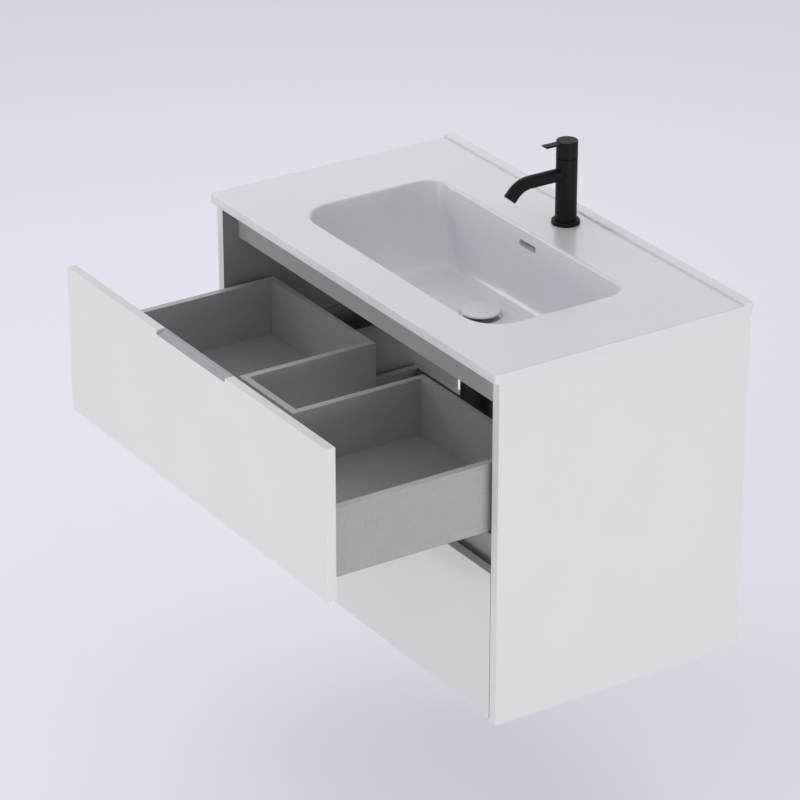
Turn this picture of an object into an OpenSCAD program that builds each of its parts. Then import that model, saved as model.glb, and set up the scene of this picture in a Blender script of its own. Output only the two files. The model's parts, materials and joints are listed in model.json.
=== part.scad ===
// Wall-hung vanity: a two-drawer cabinet, a cast washbasin with a rolled rim, and a single-lever tap.
// Millimetres. The wall is the plane y = 0, the cabinet faces -Y and +Z is up. The origin is the centre
// of the four wall screws. The upper drawer is drawn pulled out and the lower one pushed in.
// The mechanism worth reading is the drawer: a box cut round the waste trap, carried from below on
// three-part runners that stay out of sight.

/* [Carcass] */
// Width over the two side panels
carcass_width = 800; // [760:5:1000]
// Depth of a side panel, from the wall to its front edge
carcass_depth = 453; // [446:1:500]
// Height of a side panel
carcass_height = 569; // [562:1:640]
// Thickness of every carcass board
board = 16; // [15:0.5:17]
// Height of the two rails behind the drawer fronts
front_rail_height = 62; // [50:1:66]
// Setback of those rails from the front edges of the side panels
front_rail_setback = 29; // [24:1:33]
// Space between the upper runners and the middle front rail
middle_rail_gap = 16; // [12:1:20]
// Height of the upper back rail
upper_back_rail_height = 100; // [90:1:110]
// Height of the lower back rail
lower_back_rail_height = 80; // [60:1:90]
// Space between the back rails and the wall
back_rail_inset = 16; // [15:0.5:18]

/* [Wall fixing] */
// Distance from a wall screw to the inner face of the side panel beside it
wall_screw_inset = 32; // [28:1:38]
// Distance between the upper and lower wall screw
wall_screw_rise = 32; // [24:1:40]
// Radius of a wall screw hole
wall_screw_hole_r = 3.5; // [2.5:0.25:4]
// Drop from the carcass top to the centre of the wall screws
wall_screw_drop = 64; // [60:1:70]

/* [Washbasin] */
// Thickness of the washbasin's edge
basin_edge = 15.5; // [12:0.5:20]
// Overhang of the washbasin past the front edges of the side panels
basin_front_overhang = 10; // [4:1:20]
// Overhang of the washbasin past each side panel
basin_side_overhang = 5.5; // [2:0.5:12]
// Width of the bowl at its rim
bowl_width = 540; // [480:5:560]
// Distance from the front edges of the side panels to the bowl's rim
bowl_setback = 62; // [56:1:70]
// Distance from the wall to the bowl's rim, where the tap stands
bowl_wall_distance = 121; // [112:1:132]
// Depth of the bowl's floor below the washbasin's top
bowl_depth = 116; // [100:1:122]
// Thickness of the bowl's wall
bowl_wall = 11; // [9:0.5:12]
// Radius of the rolled rim of the bowl
rim_roll = 6; // [4:0.5:9]
// Place of the waste along the bowl, as a share of its depth from the front
drain_share = 0.65; // [0.6:0.005:0.68]
// Height of the upstand along the wall
upstand_height = 3.5; // [2:0.5:8]
// Depth of the upstand
upstand_depth = 17; // [12:1:22]

/* [Drawer fronts] */
// Thickness of a drawer front
front_board = 16; // [15:0.5:18]
// Gap between a drawer front and each side panel
front_side_gap = 2; // [1.5:0.25:3]
// Drop from the carcass top to the upper front
upper_front_drop = 40; // [36:1:44]
// Height of the upper front
upper_front_height = 244.5; // [240:0.5:250]
// Gap between the two fronts, where fingers reach in
finger_gap = 35; // [30:1:40]
// Lift of the lower front above the bottom edges of the side panels
lower_front_lift = 3.5; // [2:0.5:6]
// Width of the grip let into the top edge of a front
grip_width = 202; // [120:2:300]
// Drop of the grip at the face of the front
grip_drop = 5; // [4:0.5:8]

/* [Drawer boxes] */
// Thickness of a drawer box side, back or divider
box_board = 12; // [10:0.5:13]
// Gap between a side panel and the drawer box
box_gap = 9; // [8:0.5:11]
// Space between the wall and the back of a drawer box
box_rear_gap = 84; // [70:1:86]
// Drop from the carcass top to the upper drawer box
upper_box_drop = 140.5; // [136:0.5:143]
// Height of the sides of the upper drawer box
upper_box_height = 111.5; // [108:0.5:114]
// Space between the lower drawer box and the middle front rail above it
lower_box_headroom = 26; // [16:1:60]
// Thickness of a drawer bottom
box_floor = 6; // [5:0.5:8]
// Recess under a drawer bottom that takes the runners
floor_recess = 12; // [11.5:0.5:13]
// Width of the cut-out for the waste trap, between the dividers
trap_bay_width = 134; // [100:2:180]
// Length of the upper drawer ahead of that cut-out
trap_bay_setback = 125; // [110:1:140]

/* [Runners] */
// Full travel of a drawer
drawer_travel = 330; // [300:1:350]
// Distance that the upper drawer is drawn pulled out
upper_drawer_open = 282; // [0:1:330]
// Distance that the lower drawer is drawn pulled out
lower_drawer_open = 0; // [0:1:330]
// Thickness of the runner steel
runner_steel = 1.5; // [1.2:0.1:1.8]
// Running gap between two members of a runner
runner_gap = 0.3; // [0.2:0.05:0.4]

/* [Tap] */
// Radius of the tap's body
tap_r = 17; // [16.5:0.25:20]
// Height of the tap's body above the spout
tap_neck = 16; // [14:0.5:24]
// Height of the turning cap
tap_cap_height = 27.5; // [24:0.5:30]
// Distance from the wall to the tap's axis
tap_from_wall = 57; // [54:1:58]
// Height of the spout's centre line above the washbasin
spout_height = 83.5; // [70:0.5:100]
// Radius of the spout
spout_r = 10.5; // [9:0.25:11]
// Straight length of the spout from the tap's axis
spout_straight = 69; // [60:1:90]
// Radius of the spout's bend
spout_bend_r = 42; // [36:1:50]
// Angle of the spout's bend
spout_bend_angle = 48; // [30:1:60]
// Reach of the lever from the tap's axis
lever_reach = 46; // [40:1:60]
// Width of the lever
lever_width = 12; // [8:0.5:14]
// Thickness of the lever
lever_thickness = 3.5; // [3:0.25:5]

/* [Waste and trap] */
// Radius of the waste's cover
cover_r = 31; // [28:0.5:31.5]
// Lift of the cover when the waste is open
cover_lift = 7; // [5:0.5:9]
// Outside radius of the trap's pipes
pipe_r = 16; // [15:0.5:16]
// Wall of the trap's pipes
pipe_wall = 1.5; // [1:0.25:2]
// Outside radius of the trap's bottle
bottle_r = 31; // [28:0.5:34]
// Height of the trap's bottle
bottle_height = 112; // [100:1:118]
// Drop from the end of the waste to the top of the bottle
bottle_drop = 38.5; // [34:0.5:46]
// Drop from the top of the bottle to the centre line of its outlet
outlet_drop = 26; // [24:1:32]

/* [Hidden] */
$fn = 48;
overrun = 1;
fit_gap = 0.05;
loose_gap = 0.5;

front_y = -carcass_depth;
top_z = wall_screw_drop;
bottom_z = top_z - carcass_height;
inner_half = carcass_width / 2 - board;
inner_width = 2 * inner_half;

// Dowels that join the carcass boards
dowel_r = 4;
dowel_in_panel = 12;
dowel_in_rail = 20;
front_dowel_shares = [0.25, 0.75];
upper_back_dowel_shares = [0.55, 0.85];
lower_back_dowel_shares = [0.25, 0.75];
floor_dowel_shares = [0.12, 0.5, 0.88];
back_rail_y = -back_rail_inset - board;
floor_front_gap = 2;
floor_front_y = front_y + front_board + floor_front_gap;
floor_length = -back_rail_inset - floor_front_y;
front_rail_y = front_y + front_rail_setback;

// Drawer heights
floor_rise = floor_recess + box_floor;
upper_box_z = top_z - upper_box_drop - upper_box_height;
upper_board_z = upper_box_z + floor_rise;
upper_board_height = upper_box_height - floor_rise;
runner_below = 12;
lower_runner_lift = 13;
middle_rail_drop = upper_box_drop + upper_box_height + runner_below + middle_rail_gap;
middle_rail_z = top_z - middle_rail_drop - front_rail_height;
lower_box_z = bottom_z + board + lower_runner_lift + runner_below;
lower_box_height = middle_rail_z - lower_box_headroom - lower_box_z;

// Places of the dowels on the inner face of a side panel, as [y, z]
dowel_places = concat(
    [for (s = front_dowel_shares) [front_rail_y + board / 2, top_z - s * front_rail_height]],
    [for (s = front_dowel_shares) [front_rail_y + board / 2, middle_rail_z + s * front_rail_height]],
    [for (s = upper_back_dowel_shares) [back_rail_y + board / 2, top_z - s * upper_back_rail_height]],
    [for (s = lower_back_dowel_shares)
        [back_rail_y + board / 2, bottom_z + board + s * lower_back_rail_height]],
    [for (s = floor_dowel_shares) [floor_front_y + s * floor_length, bottom_z + board / 2]]
);

// Wall plate and the hook that hangs on its lip
plate_steel = 2.5;
plate_margin = 12;
plate_side_gap = 4;
plate_width = 2 * (wall_screw_inset - plate_side_gap);
wall_screw_span = 2 * (inner_half - wall_screw_inset);
lip_gap = 9;
lip_rise = 10;
hook_steel = 4;
hook_arm = 6;
hook_leg = 4.5;
hook_side_gap = 1;
hook_tail = 12;
hook_inside = 28;
plate_bottom_z = -wall_screw_rise / 2 - plate_margin;
shelf_z = wall_screw_rise / 2 + plate_margin;
lip_top_z = shelf_z + plate_steel + lip_rise;
lip_y = -2 * plate_steel - lip_gap;

// Hanger in the upper back corner
hanger_width = 18;
hanger_length = 50;
hanger_below = 26;
hanger_above = 4;
hanger_x = inner_half - hanger_width / 2;
hanger_z = lip_top_z - hanger_below;
hanger_height = hanger_below + hook_arm + hanger_above;
hanger_y = back_rail_y - hanger_length;
window_clearance = 2;
adjuster_r = 3;
adjuster_length = 14;
adjuster_head_r = 4;
adjuster_head = 2;
adjuster_x_share = 0.27;
adjuster_z_share = 0.5;

// Washbasin
basin_top = top_z + basin_edge;
basin_half = carcass_width / 2 + basin_side_overhang;
basin_front_y = front_y - basin_front_overhang;
basin_corner_r = 5;
basin_edge_round = 2;
upstand_bevel = 1.5;
bowl_half = bowl_width / 2;
bowl_front_y = front_y + bowl_setback;
bowl_back_y = -bowl_wall_distance;
bowl_length = bowl_back_y - bowl_front_y;
drain_setback = bowl_setback + drain_share * bowl_length;
drain_y = front_y + drain_setback;

// Corner radii of the bowl and how far its walls draw in, as shares of its depth or its width
rim_front_share = 0.23;
rim_back_share = 0.155;
floor_front_share = 0.207;
floor_back_share = 0.178;
side_slope_share = 0.065;
side_fillet_share = 0.139;
back_slope_share = 0.048;
back_fillet_share = 0.104;
front_slope_share = 0.093;
front_fillet_share = 0.267;
rim_front_r = rim_front_share * bowl_length;
rim_back_r = rim_back_share * bowl_length;
floor_front_r = floor_front_share * bowl_length;
floor_back_r = floor_back_share * bowl_length;
side_slope = side_slope_share * bowl_width;
side_fillet = side_fillet_share * bowl_width;
back_slope = back_slope_share * bowl_length;
back_fillet = back_fillet_share * bowl_length;
front_slope = front_slope_share * bowl_length;
front_fillet = front_fillet_share * bowl_length;
bowl_roundness = 2.5;
corner_steps = 8;
roll_steps = 4;
wall_steps = 11;
dish = 3.5;
cover_flange_gap = 1;
waste_flange_r = cover_r + cover_flange_gap;
seat_ledge = 2;
drain_seat_r = waste_flange_r + seat_ledge;
drain_flat = 0.5;
drain_hole_r = 23;
seat_recess = 3;
drain_boss_wall = 5;
drain_boss_r = drain_seat_r + drain_boss_wall;
drain_boss_height = 14;
drain_seat_z = basin_top - bowl_depth - dish;
drain_ledge_z = drain_seat_z - seat_recess;
drain_under_z = basin_top - bowl_depth - bowl_wall - drain_boss_height;
overflow_width = 45;
overflow_height = 10;
overflow_depth = 23.5;

// Overflow duct: down behind the bowl, then forward under its floor to the waste
duct_wall = 5;
duct_inside = 9;
duct_step = 6;
duct_width = overflow_width + 2 * duct_wall;
duct_y = bowl_back_y + duct_step;
duct_back_y = duct_y + duct_inside;
duct_leg = 8;
duct_z = drain_under_z + duct_wall;
duct_top_z = basin_top - overflow_depth + overflow_height / 2;
tap_hole_r = 17.5;
tap_y = -tap_from_wall;

// Drawers
box_half = inner_half - box_gap;
box_inner_half = box_half - box_board;
box_front_y = front_y + front_board;
box_back_y = -box_rear_gap;
box_length = box_back_y - box_front_y;
bay_half = trap_bay_width / 2;
bay_front_y = box_front_y + trap_bay_setback;
front_width = inner_width - 2 * front_side_gap;
upper_front_z = top_z - upper_front_drop - upper_front_height;
lower_front_z = bottom_z + lower_front_lift;
lower_front_height = upper_front_z - finger_gap - lower_front_z;

// Grip profile
grip_steel = 2;
grip_lip = 1.5;
grip_lip_drop = 1.2;
grip_skirt = 22;

// Runner section, measured inward from the side panel
runner_flange = 38;
runner_width = 44;
runner_lip = 8;
runner_front_gap = 2;
runner_rear_gap = 1;
runner_length = box_length - runner_front_gap - runner_rear_gap;
middle_inset = 26;
middle_width = 14;
middle_overlap_share = 0.45;
middle_overlap = middle_overlap_share * runner_length;
drawer_rail_leg = 13;
drawer_rail_end_gap = 5;
runner_y = box_front_y + runner_front_gap;
flange_hole_r = 2.1;
flange_hole_shares = [0.06, 0.12, 0.2, 0.28, 0.36, 0.5, 0.58, 0.66, 0.8, 0.9];
runner_screw_shares = [0.09, 0.43, 0.85];
runner_screw_r = 1.9;
runner_screw_length = 13;
runner_screw_head_r = 3.8;
runner_screw_head = 2;
runner_screw_drop = 8;
flange_hole_drops = [6, 12];
clip_width = 34;
clip_length = 46;
clip_height = 9;
clip_lever_width = 12;
clip_lever_length = 14;
clip_lever_height = 4;

// Tap
flange_reach = 5.6;
flange_r = tap_r + flange_reach;
flange_height = 6.5;
flange_step = 2;
flange_round = 2;
cap_gap = 1;
cap_wall = 2.5;
cap_top = 4;
cap_round = 1;
cap_boss_r = 6.5;
cap_boss_drop = 8;
cartridge_wall = 4.5;
cartridge_r = tap_r - cartridge_wall;
cartridge_floor = 2;
cartridge_sink = tap_neck - cartridge_floor;
cartridge_headroom = 1.5;
cartridge_rise = tap_cap_height - cap_top - cap_boss_drop - cartridge_headroom;
stem_r = 4;
stem_sink = 10;
lever_slant = 4;
body_bore_r = 6;
spout_wall = 2;
weld_step = 0.02;
spout_seat = 9;
spout_end = 10;
aerator_gap = 0.1;
aerator_r = spout_r - spout_wall - aerator_gap;
aerator_length = 7;
aerator_hole_r = 1;
aerator_ring_shares = [0.36, 0.7];
aerator_ring_counts = [6, 12];
shank_gap = 1.1;
shank_r = tap_hole_r - shank_gap;
shank_wall = 4;
shank_below = 34;
inlet_r = 4.25;
inlet_offset = 6;
inlet_length = 12;
tap_washer_reach = 4.6;
tap_washer_r = shank_r + tap_washer_reach;
tap_washer_height = 3;
tap_nut_reach = 5.6;
tap_nut_r = shank_r + tap_nut_reach;
tap_nut_height = 12;
deck_z = basin_top;
body_foot_z = deck_z + flange_step;
spout_z = deck_z + spout_height;
body_top_z = spout_z + spout_r + tap_neck;
cap_z = body_top_z + cap_gap;
tap_height = spout_height + spout_r + tap_neck + cap_gap + tap_cap_height;
tap_top_z = deck_z + tap_height;
boss_z = tap_top_z - cap_top - cap_boss_drop;

// Waste and trap
waste_flange = 2.5;
waste_body_r = drain_hole_r - cover_flange_gap;
waste_thread_step = 1.1;
waste_thread_r = waste_body_r - waste_thread_step;
waste_bore_r = 17;
waste_below = 46;
waste_collar = 14;
waste_window = 12;
waste_window_angles = [30, 90, 150, 210, 270, 330];
gasket_height = 4;
gasket_reach = 11;
gasket_r = waste_body_r + gasket_reach;
waste_nut_reach = 12;
waste_nut_r = waste_body_r + waste_nut_reach;
waste_nut_height = 9;
cover_height = 3;
cover_round = 1.2;
cover_stem_r = 4;
cover_stem_length = 40;
spider_r = 6.5;
spider_height = 10;
spider_arm = 3;
spider_drop = 22;
trap_nut_wall = 4.1;
trap_nut_r = waste_thread_r + trap_nut_wall;
trap_nut_height = 24;
trap_nut_engage = 10;
bottle_wall = 2;
bottle_roof = 3;
bottle_collar_wall = 4;
bottle_collar_r = pipe_r + bottle_collar_wall;
bottle_collar_height = 12;
collar_nut_wall = 4;
collar_nut_r = bottle_collar_r + collar_nut_wall;
collar_nut_height = 20;
collar_nut_roof = 5;
dip_length_share = 0.62;
cup_height = 16;
cup_lip = 1.5;
cup_groove = 2;
stub_wall = 2.5;
stub_r = pipe_r + stub_wall;
outlet_nut_wall = 3.5;
outlet_nut_r = stub_r + outlet_nut_wall;
outlet_nut_length = 18;
outlet_stub = 12;
spigot_step = 0.25;
spigot_gap = 1;
waste_bottom_z = drain_under_z - waste_below;
bottle_top_z = waste_bottom_z - bottle_drop;
bottle_low_z = bottle_top_z - bottle_height;
bottle_collar_z = bottle_top_z + bottle_collar_height;
collar_nut_z = bottle_collar_z + collar_nut_roof - collar_nut_height;
outlet_z = bottle_top_z - outlet_drop;
cover_z = drain_ledge_z + waste_flange + cover_lift;
trap_nut_z = waste_bottom_z + trap_nut_engage - trap_nut_height;
dip_bottom_z = bottle_top_z - dip_length_share * bottle_height;

lacquer = [0.87, 0.87, 0.88];
inner_grey = [0.45, 0.45, 0.46];
rail_grey = [0.55, 0.55, 0.56];
basin_white = [0.93, 0.93, 0.95];
linen = [0.66, 0.66, 0.67];
steel = [0.72, 0.73, 0.75];
tap_black = [0.1, 0.1, 0.11];
trap_grey = [0.16, 0.16, 0.17];

// Draws its children on the right and again, mirrored, on the left
module both_sides() {
    children();
    mirror([1, 0, 0]) children();
}

// Cylinder along X that starts at x = 0
module rod_x(r, length) {
    rotate([0, 90, 0]) cylinder(r = r, h = length);
}

// Cylinder along Y that starts at y = 0
module rod_y(r, length) {
    rotate([-90, 0, 0]) cylinder(r = r, h = length);
}

// Straight tube along Z
module tube(r, wall, length) {
    difference() {
        cylinder(r = r, h = length);
        translate([0, 0, -overrun]) cylinder(r = r - wall, h = length + 2 * overrun);
    }
}

// Profile drawn as [distance inward from the right side panel, height], run along Y
module runner_profile(points, length) {
    translate([inner_half, length, 0]) rotate([90, 0, 0]) linear_extrude(length)
        polygon([for (p = points) [-p[0], p[1]]]);
}

// Profile drawn as [y, z], run along X from x = 0
module profile_x(points, width) {
    rotate([90, 0, 90]) linear_extrude(width) polygon(points);
}

// Corner of a rounded rectangle, a quarter circle from the given angle
function corner(x, y, r, start) =
    [for (i = [0:corner_steps]) let (a = start + 90 * i / corner_steps) [x + r * cos(a), y + r * sin(a)]];

// Rounded rectangle at one height, with its own corner radii at the front and the back
function ring(half, y_front, y_back, r_front, r_back, z) = [
    for (p = concat(
        corner(half - r_back, y_back - r_back, r_back, 0),
        corner(r_back - half, y_back - r_back, r_back, 90),
        corner(r_front - half, y_front + r_front, r_front, 180),
        corner(half - r_front, y_front + r_front, r_front, 270)
    )) [p[0], p[1], z]
];

// Solid that joins a stack of such rings, lowest first
module loft(rings) {
    count = len(rings[0]);
    last = len(rings) - 1;
    points = [for (r = rings, p = r) p];
    sides = [for (k = [0:last - 1], i = [0:count - 1]) let (
        a = k * count + i,
        b = k * count + (i + 1) % count
    ) each [[a, a + count, b + count], [a, b + count, b]]];
    floor_face = [for (i = [0:count - 1]) i];
    top_face = [for (i = [count - 1:-1:0]) last * count + i];
    polyhedron(points = points, faces = concat([floor_face], sides, [top_face]));
}

// How far the bowl's wall has drawn in at a share of its depth: a slope, then a fillet into the floor
function draw_in(slope, fillet, share) =
    slope * share + fillet * (1 - pow(1 - pow(share, bowl_roundness), 1 / bowl_roundness));

// Share of the wall's depth at a step; the steps close up where the fillet turns
function bowl_share(step) = pow(sin(90 * step / wall_steps), 2 / bowl_roundness);

// Ring of the bowl, at a share of the wall's depth, grown outward by a wall thickness
function bowl_ring(share, grow) =
    let (inset = rim_roll - grow)
    ring(
        bowl_half - inset - draw_in(side_slope, side_fillet, share),
        bowl_front_y + inset + draw_in(front_slope, front_fillet, share),
        bowl_back_y - inset - draw_in(back_slope, back_fillet, share),
        (1 - share) * rim_front_r + share * floor_front_r - inset,
        (1 - share) * rim_back_r + share * floor_back_r - inset,
        basin_top - rim_roll - share * (bowl_depth - rim_roll + grow)
    );

// Ring of the rolled rim at an angle from the flat top
function roll_ring(angle) =
    let (inset = rim_roll * sin(angle))
    ring(bowl_half - inset, bowl_front_y + inset, bowl_back_y - inset, rim_front_r - inset,
        rim_back_r - inset, basin_top - rim_roll * (1 - cos(angle)));

function lifted(points, rise) = [for (p = points) [p[0], p[1], p[2] + rise]];

module bowl_hollow() {
    reach = drain_seat_r + drain_flat;
    loft(concat(
        [ring(reach, drain_y - reach, drain_y + reach, drain_seat_r, drain_seat_r, drain_seat_z)],
        [for (i = [wall_steps:-1:1]) bowl_ring(bowl_share(i), 0)],
        [for (i = [roll_steps:-1:0]) roll_ring(90 * i / roll_steps)],
        [lifted(roll_ring(0), overrun)]
    ));
}

module bowl_shell() {
    loft([for (i = [wall_steps:-1:0]) bowl_ring(bowl_share(i), bowl_wall)]);
}

module basin_slab() {
    function slab_ring(inset, z) = ring(basin_half - inset, basin_front_y + inset, -inset,
        basin_corner_r - inset, basin_corner_r - inset, z);
    loft(concat(
        [slab_ring(0, top_z)],
        [for (i = [0:roll_steps]) let (a = 90 * i / roll_steps)
            slab_ring(basin_edge_round * (1 - cos(a)), basin_top - basin_edge_round * (1 - sin(a)))]
    ));
}

// Slot in the bowl's back wall, and the way down behind it
module overflow_slot() {
    flat = (overflow_width - overflow_height) / 2;
    reach = rim_roll + back_slope + duct_step;
    length = reach + duct_step + duct_inside / 2;
    translate([0, bowl_back_y - reach, basin_top - overflow_depth]) {
        translate([-flat, 0, -overflow_height / 2])
            cube([2 * flat, length, overflow_height]);
        for (x = [-flat, flat]) translate([x, 0, 0]) rod_y(overflow_height / 2, length);
    }
    translate([-overflow_width / 2, 0, 0]) profile_x([
        [duct_y, duct_top_z],
        [duct_y, duct_z + duct_leg],
        [drain_y, duct_z + duct_leg],
        [drain_y, duct_z],
        [duct_back_y, duct_z],
        [duct_back_y, duct_top_z]
    ], overflow_width);
}

// Casting round that way; the bowl trims its front
module overflow_duct() {
    translate([-duct_width / 2, 0, 0]) profile_x([
        [duct_y - duct_wall, top_z + overrun],
        [drain_y, duct_z + duct_leg + duct_wall],
        [drain_y, drain_under_z],
        [duct_back_y - duct_inside, drain_under_z],
        [duct_back_y + duct_wall, drain_under_z + duct_inside + duct_wall],
        [duct_back_y + duct_wall, top_z + overrun]
    ], duct_width);
}

module washbasin() {
    color(basin_white) difference() {
        union() {
            basin_slab();
            bowl_shell();
            translate([0, drain_y, drain_under_z])
                cylinder(r = drain_boss_r, h = drain_ledge_z - drain_under_z);
            overflow_duct();
            translate([-basin_half, 0, 0]) profile_x([
                [0, basin_top - basin_edge_round],
                [0, basin_top + upstand_height],
                [upstand_bevel - upstand_depth, basin_top + upstand_height],
                [-upstand_depth, basin_top + upstand_height - upstand_bevel],
                [-upstand_depth, basin_top - basin_edge_round]
            ], 2 * basin_half);
        }
        bowl_hollow();
        overflow_slot();
        translate([0, tap_y, top_z - overrun]) cylinder(r = tap_hole_r, h = basin_edge + 2 * overrun);
        translate([0, drain_y, drain_under_z - overrun])
            cylinder(r = drain_hole_r, h = bowl_depth);
        translate([0, drain_y, drain_ledge_z])
            cylinder(r = waste_flange_r + loose_gap, h = seat_recess + overrun);
    }
}

module side_panel() {
    difference() {
        translate([inner_half, front_y, bottom_z]) cube([board, carcass_depth, carcass_height]);
        for (p = dowel_places) translate([inner_half - overrun, p[0], p[1]])
            rod_x(dowel_r + fit_gap, dowel_in_panel + overrun);
        for (box_z = [upper_box_z, lower_box_z], s = runner_screw_shares)
            translate([inner_half - overrun, runner_y + s * runner_length, runner_screw_z(box_z)])
                rod_x(runner_screw_r + fit_gap, runner_screw_length + overrun);
    }
}

module side_panel_left() {
    color(lacquer) mirror([1, 0, 0]) side_panel();
}

module side_panel_right() {
    color(lacquer) side_panel();
}

// Board between the side panels, with the dowel holes that fall on its ends
module cross_board(y, z, length, height) {
    difference() {
        translate([-inner_half, y, z]) cube([inner_width, length, height]);
        both_sides() for (p = dowel_places)
            if (p[0] > y && p[0] < y + length && p[1] > z && p[1] < z + height)
                translate([inner_half - dowel_in_rail, p[0], p[1]])
                    rod_x(dowel_r + fit_gap, dowel_in_rail + overrun);
    }
}

module cabinet_floor() {
    color(inner_grey) cross_board(floor_front_y, bottom_z, floor_length, board);
}

module top_front_rail() {
    color(rail_grey) cross_board(front_rail_y, top_z - front_rail_height, board, front_rail_height);
}

module middle_front_rail() {
    color(rail_grey) cross_board(front_rail_y, middle_rail_z, board, front_rail_height);
}

module upper_back_rail() {
    color(rail_grey) difference() {
        cross_board(back_rail_y, top_z - upper_back_rail_height, board, upper_back_rail_height);
        both_sides() translate([
            inner_half - hanger_width,
            back_rail_y - overrun,
            lip_top_z - window_clearance
        ]) cube([hanger_width + overrun, board + 2 * overrun, hook_arm + 2 * window_clearance]);
    }
}

module lower_back_rail() {
    color(rail_grey) cross_board(back_rail_y, bottom_z + board, board, lower_back_rail_height);
}

module carcass_dowels() {
    color("burlywood") both_sides() for (p = dowel_places)
        translate([inner_half - dowel_in_rail, p[0], p[1]])
            rod_x(dowel_r, dowel_in_rail + dowel_in_panel);
}

// Steel plate screwed to the wall; its raised lip takes the hook
module wall_plates() {
    color(steel) for (x = [-wall_screw_span / 2, wall_screw_span / 2]) translate([x, 0, 0]) difference() {
        translate([-plate_width / 2, 0, 0]) profile_x([
            [0, plate_bottom_z],
            [0, lip_top_z],
            [-plate_steel, lip_top_z],
            [-plate_steel, shelf_z + plate_steel],
            [lip_y + plate_steel, shelf_z + plate_steel],
            [lip_y + plate_steel, lip_top_z],
            [lip_y, lip_top_z],
            [lip_y, shelf_z],
            [-plate_steel, shelf_z],
            [-plate_steel, plate_bottom_z]
        ], plate_width);
        for (z = [-wall_screw_rise / 2, wall_screw_rise / 2])
            translate([0, -plate_steel - overrun, z]) rod_y(wall_screw_hole_r, plate_steel + 2 * overrun);
    }
}

// Flat steel hook that reaches through the back rail and drops behind the plate's lip
module hanger_hooks() {
    reach_y = -plate_steel - hook_side_gap;
    tail_y = back_rail_y - hook_inside;
    color(steel) both_sides() translate([hanger_x - hook_steel / 2, 0, 0]) profile_x([
        [reach_y, lip_top_z - lip_rise + hook_side_gap],
        [reach_y, lip_top_z + hook_arm],
        [tail_y, lip_top_z + hook_arm],
        [tail_y, hanger_z + hook_arm],
        [tail_y + hook_tail, hanger_z + hook_arm],
        [tail_y + hook_tail, lip_top_z],
        [reach_y - hook_leg, lip_top_z],
        [reach_y - hook_leg, lip_top_z - lip_rise + hook_side_gap]
    ], hook_steel);
}

function adjuster_xs() = [
    hanger_x - adjuster_x_share * hanger_width,
    hanger_x + adjuster_x_share * hanger_width
];

module hanger_bodies() {
    slot = hook_steel + 2 * fit_gap;
    slot_y = back_rail_y - hook_inside - fit_gap;
    color(steel) both_sides() difference() {
        translate([inner_half - hanger_width, hanger_y, hanger_z])
            cube([hanger_width, hanger_length, hanger_height]);
        translate([hanger_x - slot / 2, slot_y, hanger_z + hook_arm - fit_gap])
            cube([slot, hook_inside + overrun, hanger_height]);
        for (x = adjuster_xs())
            translate([x, hanger_y - overrun, hanger_z + adjuster_z_share * hanger_height])
                rod_y(adjuster_r + fit_gap, adjuster_length + overrun);
    }
}

module hanger_adjusters() {
    color("silver") both_sides() for (x = adjuster_xs())
        translate([x, hanger_y, hanger_z + adjuster_z_share * hanger_height]) {
            rod_y(adjuster_r, adjuster_length);
            translate([0, -adjuster_head, 0]) rod_y(adjuster_head_r, adjuster_head);
        }
}

function web_z(box_z) = box_z - runner_below;
function flange_top_z(box_z) = web_z(box_z) + runner_flange;
function runner_screw_z(box_z) = flange_top_z(box_z) - runner_screw_drop;

// Fixed rail: a perforated flange on the side panel, and a web under the drawer
module cabinet_rails(box_z) {
    low = web_z(box_z);
    high = flange_top_z(box_z);
    face_x = inner_half - runner_steel - overrun;
    color(steel) both_sides() difference() {
        translate([0, runner_y, 0]) runner_profile([
            [0, low], [0, high],
            [runner_steel, high], [runner_steel, low + runner_steel],
            [runner_width - runner_steel, low + runner_steel],
            [runner_width - runner_steel, low + runner_lip],
            [runner_width, low + runner_lip], [runner_width, low]
        ], runner_length);
        for (s = runner_screw_shares)
            translate([face_x, runner_y + s * runner_length, runner_screw_z(box_z)])
                rod_x(flange_hole_r, runner_steel + 2 * overrun);
        for (s = flange_hole_shares, drop = flange_hole_drops)
            translate([face_x, runner_y + s * runner_length, high - drop])
                rod_x(flange_hole_r, runner_steel + 2 * overrun);
    }
}

module upper_cabinet_rails() {
    cabinet_rails(upper_box_z);
}

module lower_cabinet_rails() {
    cabinet_rails(lower_box_z);
}

module runner_screws() {
    color("silver") both_sides() for (box_z = [upper_box_z, lower_box_z], s = runner_screw_shares)
        translate([inner_half - runner_steel, runner_y + s * runner_length, runner_screw_z(box_z)]) {
            rod_x(runner_screw_r, runner_screw_length + runner_steel);
            translate([-runner_screw_head, 0, 0]) rod_x(runner_screw_head_r, runner_screw_head);
        }
}

// Hollow middle member, which follows the drawer at half its travel
module middle_rails(box_z, open) {
    low = web_z(box_z) + runner_steel + runner_gap;
    high = box_z + floor_recess - runner_steel - runner_gap;
    length = drawer_travel / 2 + middle_overlap;
    color(steel) translate([0, runner_y - open / 2, 0]) both_sides() difference() {
        runner_profile([
            [middle_inset, low], [middle_inset, high],
            [middle_inset + middle_width, high], [middle_inset + middle_width, low]
        ], length);
        translate([0, -overrun, 0]) runner_profile([
            [middle_inset + runner_steel, low + runner_steel],
            [middle_inset + runner_steel, high - runner_steel],
            [middle_inset + middle_width - runner_steel, high - runner_steel],
            [middle_inset + middle_width - runner_steel, low + runner_steel]
        ], length + 2 * overrun);
    }
}

module upper_middle_rails() {
    middle_rails(upper_box_z, upper_drawer_open);
}

module lower_middle_rails() {
    middle_rails(lower_box_z, lower_drawer_open);
}

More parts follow.
